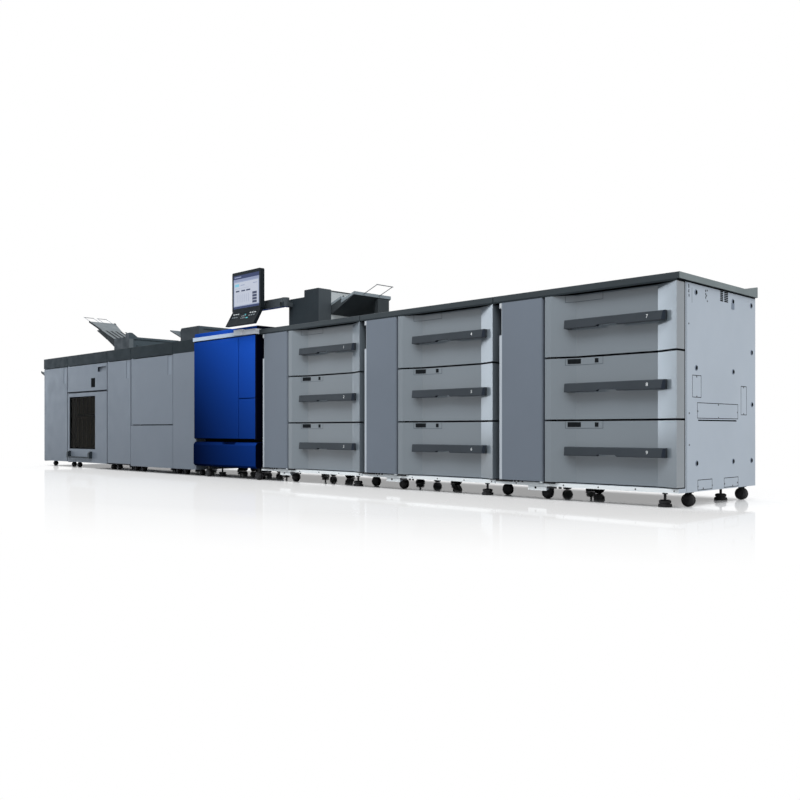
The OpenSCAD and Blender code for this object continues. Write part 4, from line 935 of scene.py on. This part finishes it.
class SetStudio(Operator):
    """Set the floor, soft light and camera"""

    bl_idname = "press.set_studio"
    bl_label = "Studio"

    def execute(self, context):
        self.floor()
        self.world(context)
        self.lamps()
        self.camera(context)
        context.scene.view_settings.view_transform = "Standard"
        return {"FINISHED"}

    def floor(self):
        """A plain pale floor that keeps the shadows and a faint reflection, white further out."""
        bm = bmesh.new()
        bmesh.ops.create_grid(bm, x_segments=1, y_segments=1, size=60)
        mesh = bpy.data.meshes.new("floor")
        bm.to_mesh(mesh)
        bm.free()
        ground = bpy.data.objects.new("floor", mesh)
        bpy.context.scene.collection.objects.link(ground)
        m = Nodes("floor")
        s = m.shader(Roughness=0.5, IOR=1.4)
        s.inputs["Specular IOR Level"].default_value = 0.0
        white = m.add("ShaderNodeEmission")
        white.inputs["Color"].default_value = (1, 1, 1, 1)
        white.inputs["Strength"].default_value = 1.0
        gloss = m.add("ShaderNodeBsdfAnisotropic")
        gloss.inputs["Color"].default_value = (1, 1, 1, 1)
        gloss.inputs["Roughness"].default_value = 0.05
        path = m.add("ShaderNodeLightPath")

        def both(kind, a, b):
            node = m.add("ShaderNodeMath", operation=kind)
            m.link(a, node.inputs[0])
            m.link(b, node.inputs[1])
            return node.outputs[0]

        def blend(fac, a, b):
            node = m.add("ShaderNodeMixShader")
            m.link(fac, node.inputs["Fac"])
            m.link(a, node.inputs[1])
            m.link(b, node.inputs[2])
            return node.outputs[0]

        # gloss and glass show the same white floor as the eye
        eye = path.outputs["Is Camera Ray"]
        bent = both("MAXIMUM", path.outputs["Is Glossy Ray"], path.outputs["Is Transmission Ray"])
        seen = both("MAXIMUM", eye, bent)
        split = m.add("ShaderNodeSeparateXYZ")
        m.link(m.place, split.inputs[0])
        x, y = split.outputs["X"], split.outputs["Y"]
        # no white is added under the row, so that its own shadow stays
        along = both("MULTIPLY", m.span(x, 0, 1, -3.15, -2.95), m.span(x, 1, 0, 3.42, 3.75))
        across = both("MULTIPLY", m.span(y, 0, 1, -0.42, -0.26), m.span(y, 1, 0, 0.30, 0.55))
        under = both("MULTIPLY", along, across)
        pick = m.add("ShaderNodeMixRGB")
        pick.inputs["Color1"].default_value = BOUNCE_TONE
        pick.inputs["Color2"].default_value = FLOOR_TONE
        m.link(seen, pick.inputs["Fac"])
        m.link(pick.outputs["Color"], s.inputs["Base Color"])
        reach = m.add("ShaderNodeVectorMath", operation="LENGTH")
        squeeze = m.add("ShaderNodeMapping")
        squeeze.inputs["Scale"].default_value = (1 / SHADOW_REACH[0], 1 / SHADOW_REACH[1], 1)
        m.link(m.place, squeeze.inputs["Vector"])
        m.link(squeeze.outputs[0], reach.inputs[0])
        share = both("MULTIPLY", m.span(under, 1, 0, 0, 1),
                     m.span(reach.outputs["Value"], 0.70, 1.0, 0.2, 1.0))
        share = both("MULTIPLY", seen, share)
        ground_light = blend(share, s.outputs[0], white.outputs[0])
        mirror = both("MULTIPLY", m.span(y, 0.16, 0.34, -2.0, -0.3),
                      m.span(reach.outputs["Value"], 1, 0, 0.7, 1.0))
        mirror = both("MULTIPLY", eye, mirror)
        m.link(blend(mirror, ground_light, gloss.outputs[0]), m.out.inputs["Surface"])
        mesh.materials.append(m.material)

    def world(self, context):
        """White to the eye, gloss and glass; as light, a dim wall and a bright ceiling."""
        world = bpy.data.worlds.new("studio")
        context.scene.world = world
        world.use_nodes = True
        tree = world.node_tree
        tree.nodes.clear()

        def add(kind, **settings):
            node = tree.nodes.new(kind)
            for key, value in settings.items():
                setattr(node, key, value)
            return node

        def spread(value, low, high, to_low, to_high):
            node = add("ShaderNodeMapRange", interpolation_type="SMOOTHSTEP")
            for key, number in (("From Min", low), ("From Max", high),
                                ("To Min", to_low), ("To Max", to_high)):
                node.inputs[key].default_value = number
            tree.links.new(value, node.inputs["Value"])
            return node.outputs["Result"]

        def total(a, b):
            node = add("ShaderNodeMath", operation="ADD")
            tree.links.new(a, node.inputs[0])
            tree.links.new(b, node.inputs[1])
            return node.outputs[0]

        out, path = add("ShaderNodeOutputWorld"), add("ShaderNodeLightPath")
        soft, white = (add("ShaderNodeBackground") for _ in range(2))
        soft.inputs["Color"].default_value = (0.95, 0.975, 1.0, 1)
        white.inputs["Color"].default_value = (1, 1, 1, 1)
        white.inputs["Strength"].default_value = 1.0
        way, split = add("ShaderNodeTexCoord"), add("ShaderNodeSeparateXYZ")
        tree.links.new(way.outputs["Generated"], split.inputs[0])

        light = spread(split.outputs["Z"], 0.05, 0.55, 0.24, 1.0)
        light = total(light, spread(split.outputs["Y"], 0.1, 0.8, 0.0, 0.5))
        light = total(light, spread(split.outputs["X"], 0.2, 0.9, 0.0, 0.95))
        tree.links.new(light, soft.inputs["Strength"])
        mix, seen = add("ShaderNodeMixShader"), path.outputs["Is Camera Ray"]
        for ray in ("Is Glossy Ray", "Is Transmission Ray"):
            either = add("ShaderNodeMath", operation="MAXIMUM")
            tree.links.new(seen, either.inputs[0])
            tree.links.new(path.outputs[ray], either.inputs[1])
            seen = either.outputs[0]
        tree.links.new(seen, mix.inputs["Fac"])
        tree.links.new(soft.outputs[0], mix.inputs[1])
        tree.links.new(white.outputs[0], mix.inputs[2])
        tree.links.new(mix.outputs[0], out.inputs["Surface"])

    def lamps(self):
        """The lamps of the list, each a soft rectangle that the camera doesn't see."""
        for name, at, aim, size, radiance, colour in LAMPS:
            data = bpy.data.lights.new(name, "AREA")
            data.shape = "RECTANGLE"
            data.size, data.size_y = size
            data.color = colour
            data.energy = radiance * math.pi * size[0] * size[1]
            lamp = bpy.data.objects.new(name, data)
            lamp.visible_camera = False
            bpy.context.scene.collection.objects.link(lamp)
            turn = (Vector(aim) - Vector(at)).to_track_quat("-Z", "Y").to_matrix().to_4x4()
            lamp.matrix_world = Matrix.Translation(Vector(at)) @ turn

    def camera(self, context):
        studio = context.scene.press_studio
        data = bpy.data.cameras.new("camera")
        data.lens = studio.lens
        data.sensor_width = 36
        data.shift_y = studio.rise
        data.clip_end = 200
        camera = bpy.data.objects.new("camera", data)
        context.scene.collection.objects.link(camera)
        camera.location = studio.eye
        camera.rotation_euler = (math.radians(90), 0, studio.turn)
        context.scene.camera = camera


OPERATORS = (DressCabinets, FitDrawers, FitFeeders, FitStacker, FitTops, FitScreen, SetStudio)


class PressPanel(Panel):
    """Lists the pieces of the press"""

    bl_idname = "VIEW3D_PT_press"
    bl_label = "Production press"
    bl_space_type = "VIEW_3D"
    bl_region_type = "UI"
    bl_category = "Press"

    def draw(self, context):
        for kind in OPERATORS:
            self.layout.operator(kind.bl_idname)
        for group in (context.scene.press_paints, context.scene.press_sizes, context.scene.press_studio):
            for key in group.bl_rna.properties.keys():
                if key not in ("rna_type", "name"):
                    self.layout.prop(group, key)


CLASSES = (PressPaints, PressSizes, PressStudio, *OPERATORS, PressPanel)


def register():
    for kind in CLASSES:
        bpy.utils.register_class(kind)
    bpy.types.Scene.press_paints = PointerProperty(type=PressPaints)
    bpy.types.Scene.press_sizes = PointerProperty(type=PressSizes)
    bpy.types.Scene.press_studio = PointerProperty(type=PressStudio)


def unregister():
    del bpy.types.Scene.press_paints, bpy.types.Scene.press_sizes, bpy.types.Scene.press_studio
    for kind in reversed(CLASSES):
        bpy.utils.unregister_class(kind)


def main():
    """Makes every piece in order."""
    register()
    bpy.ops.press.dress_cabinets()
    bpy.ops.press.fit_drawers()
    bpy.ops.press.fit_feeders()
    bpy.ops.press.fit_stacker()
    bpy.ops.press.fit_tops()
    bpy.ops.press.fit_screen()
    bpy.ops.press.set_studio()


if __name__ == "__main__":
    main()
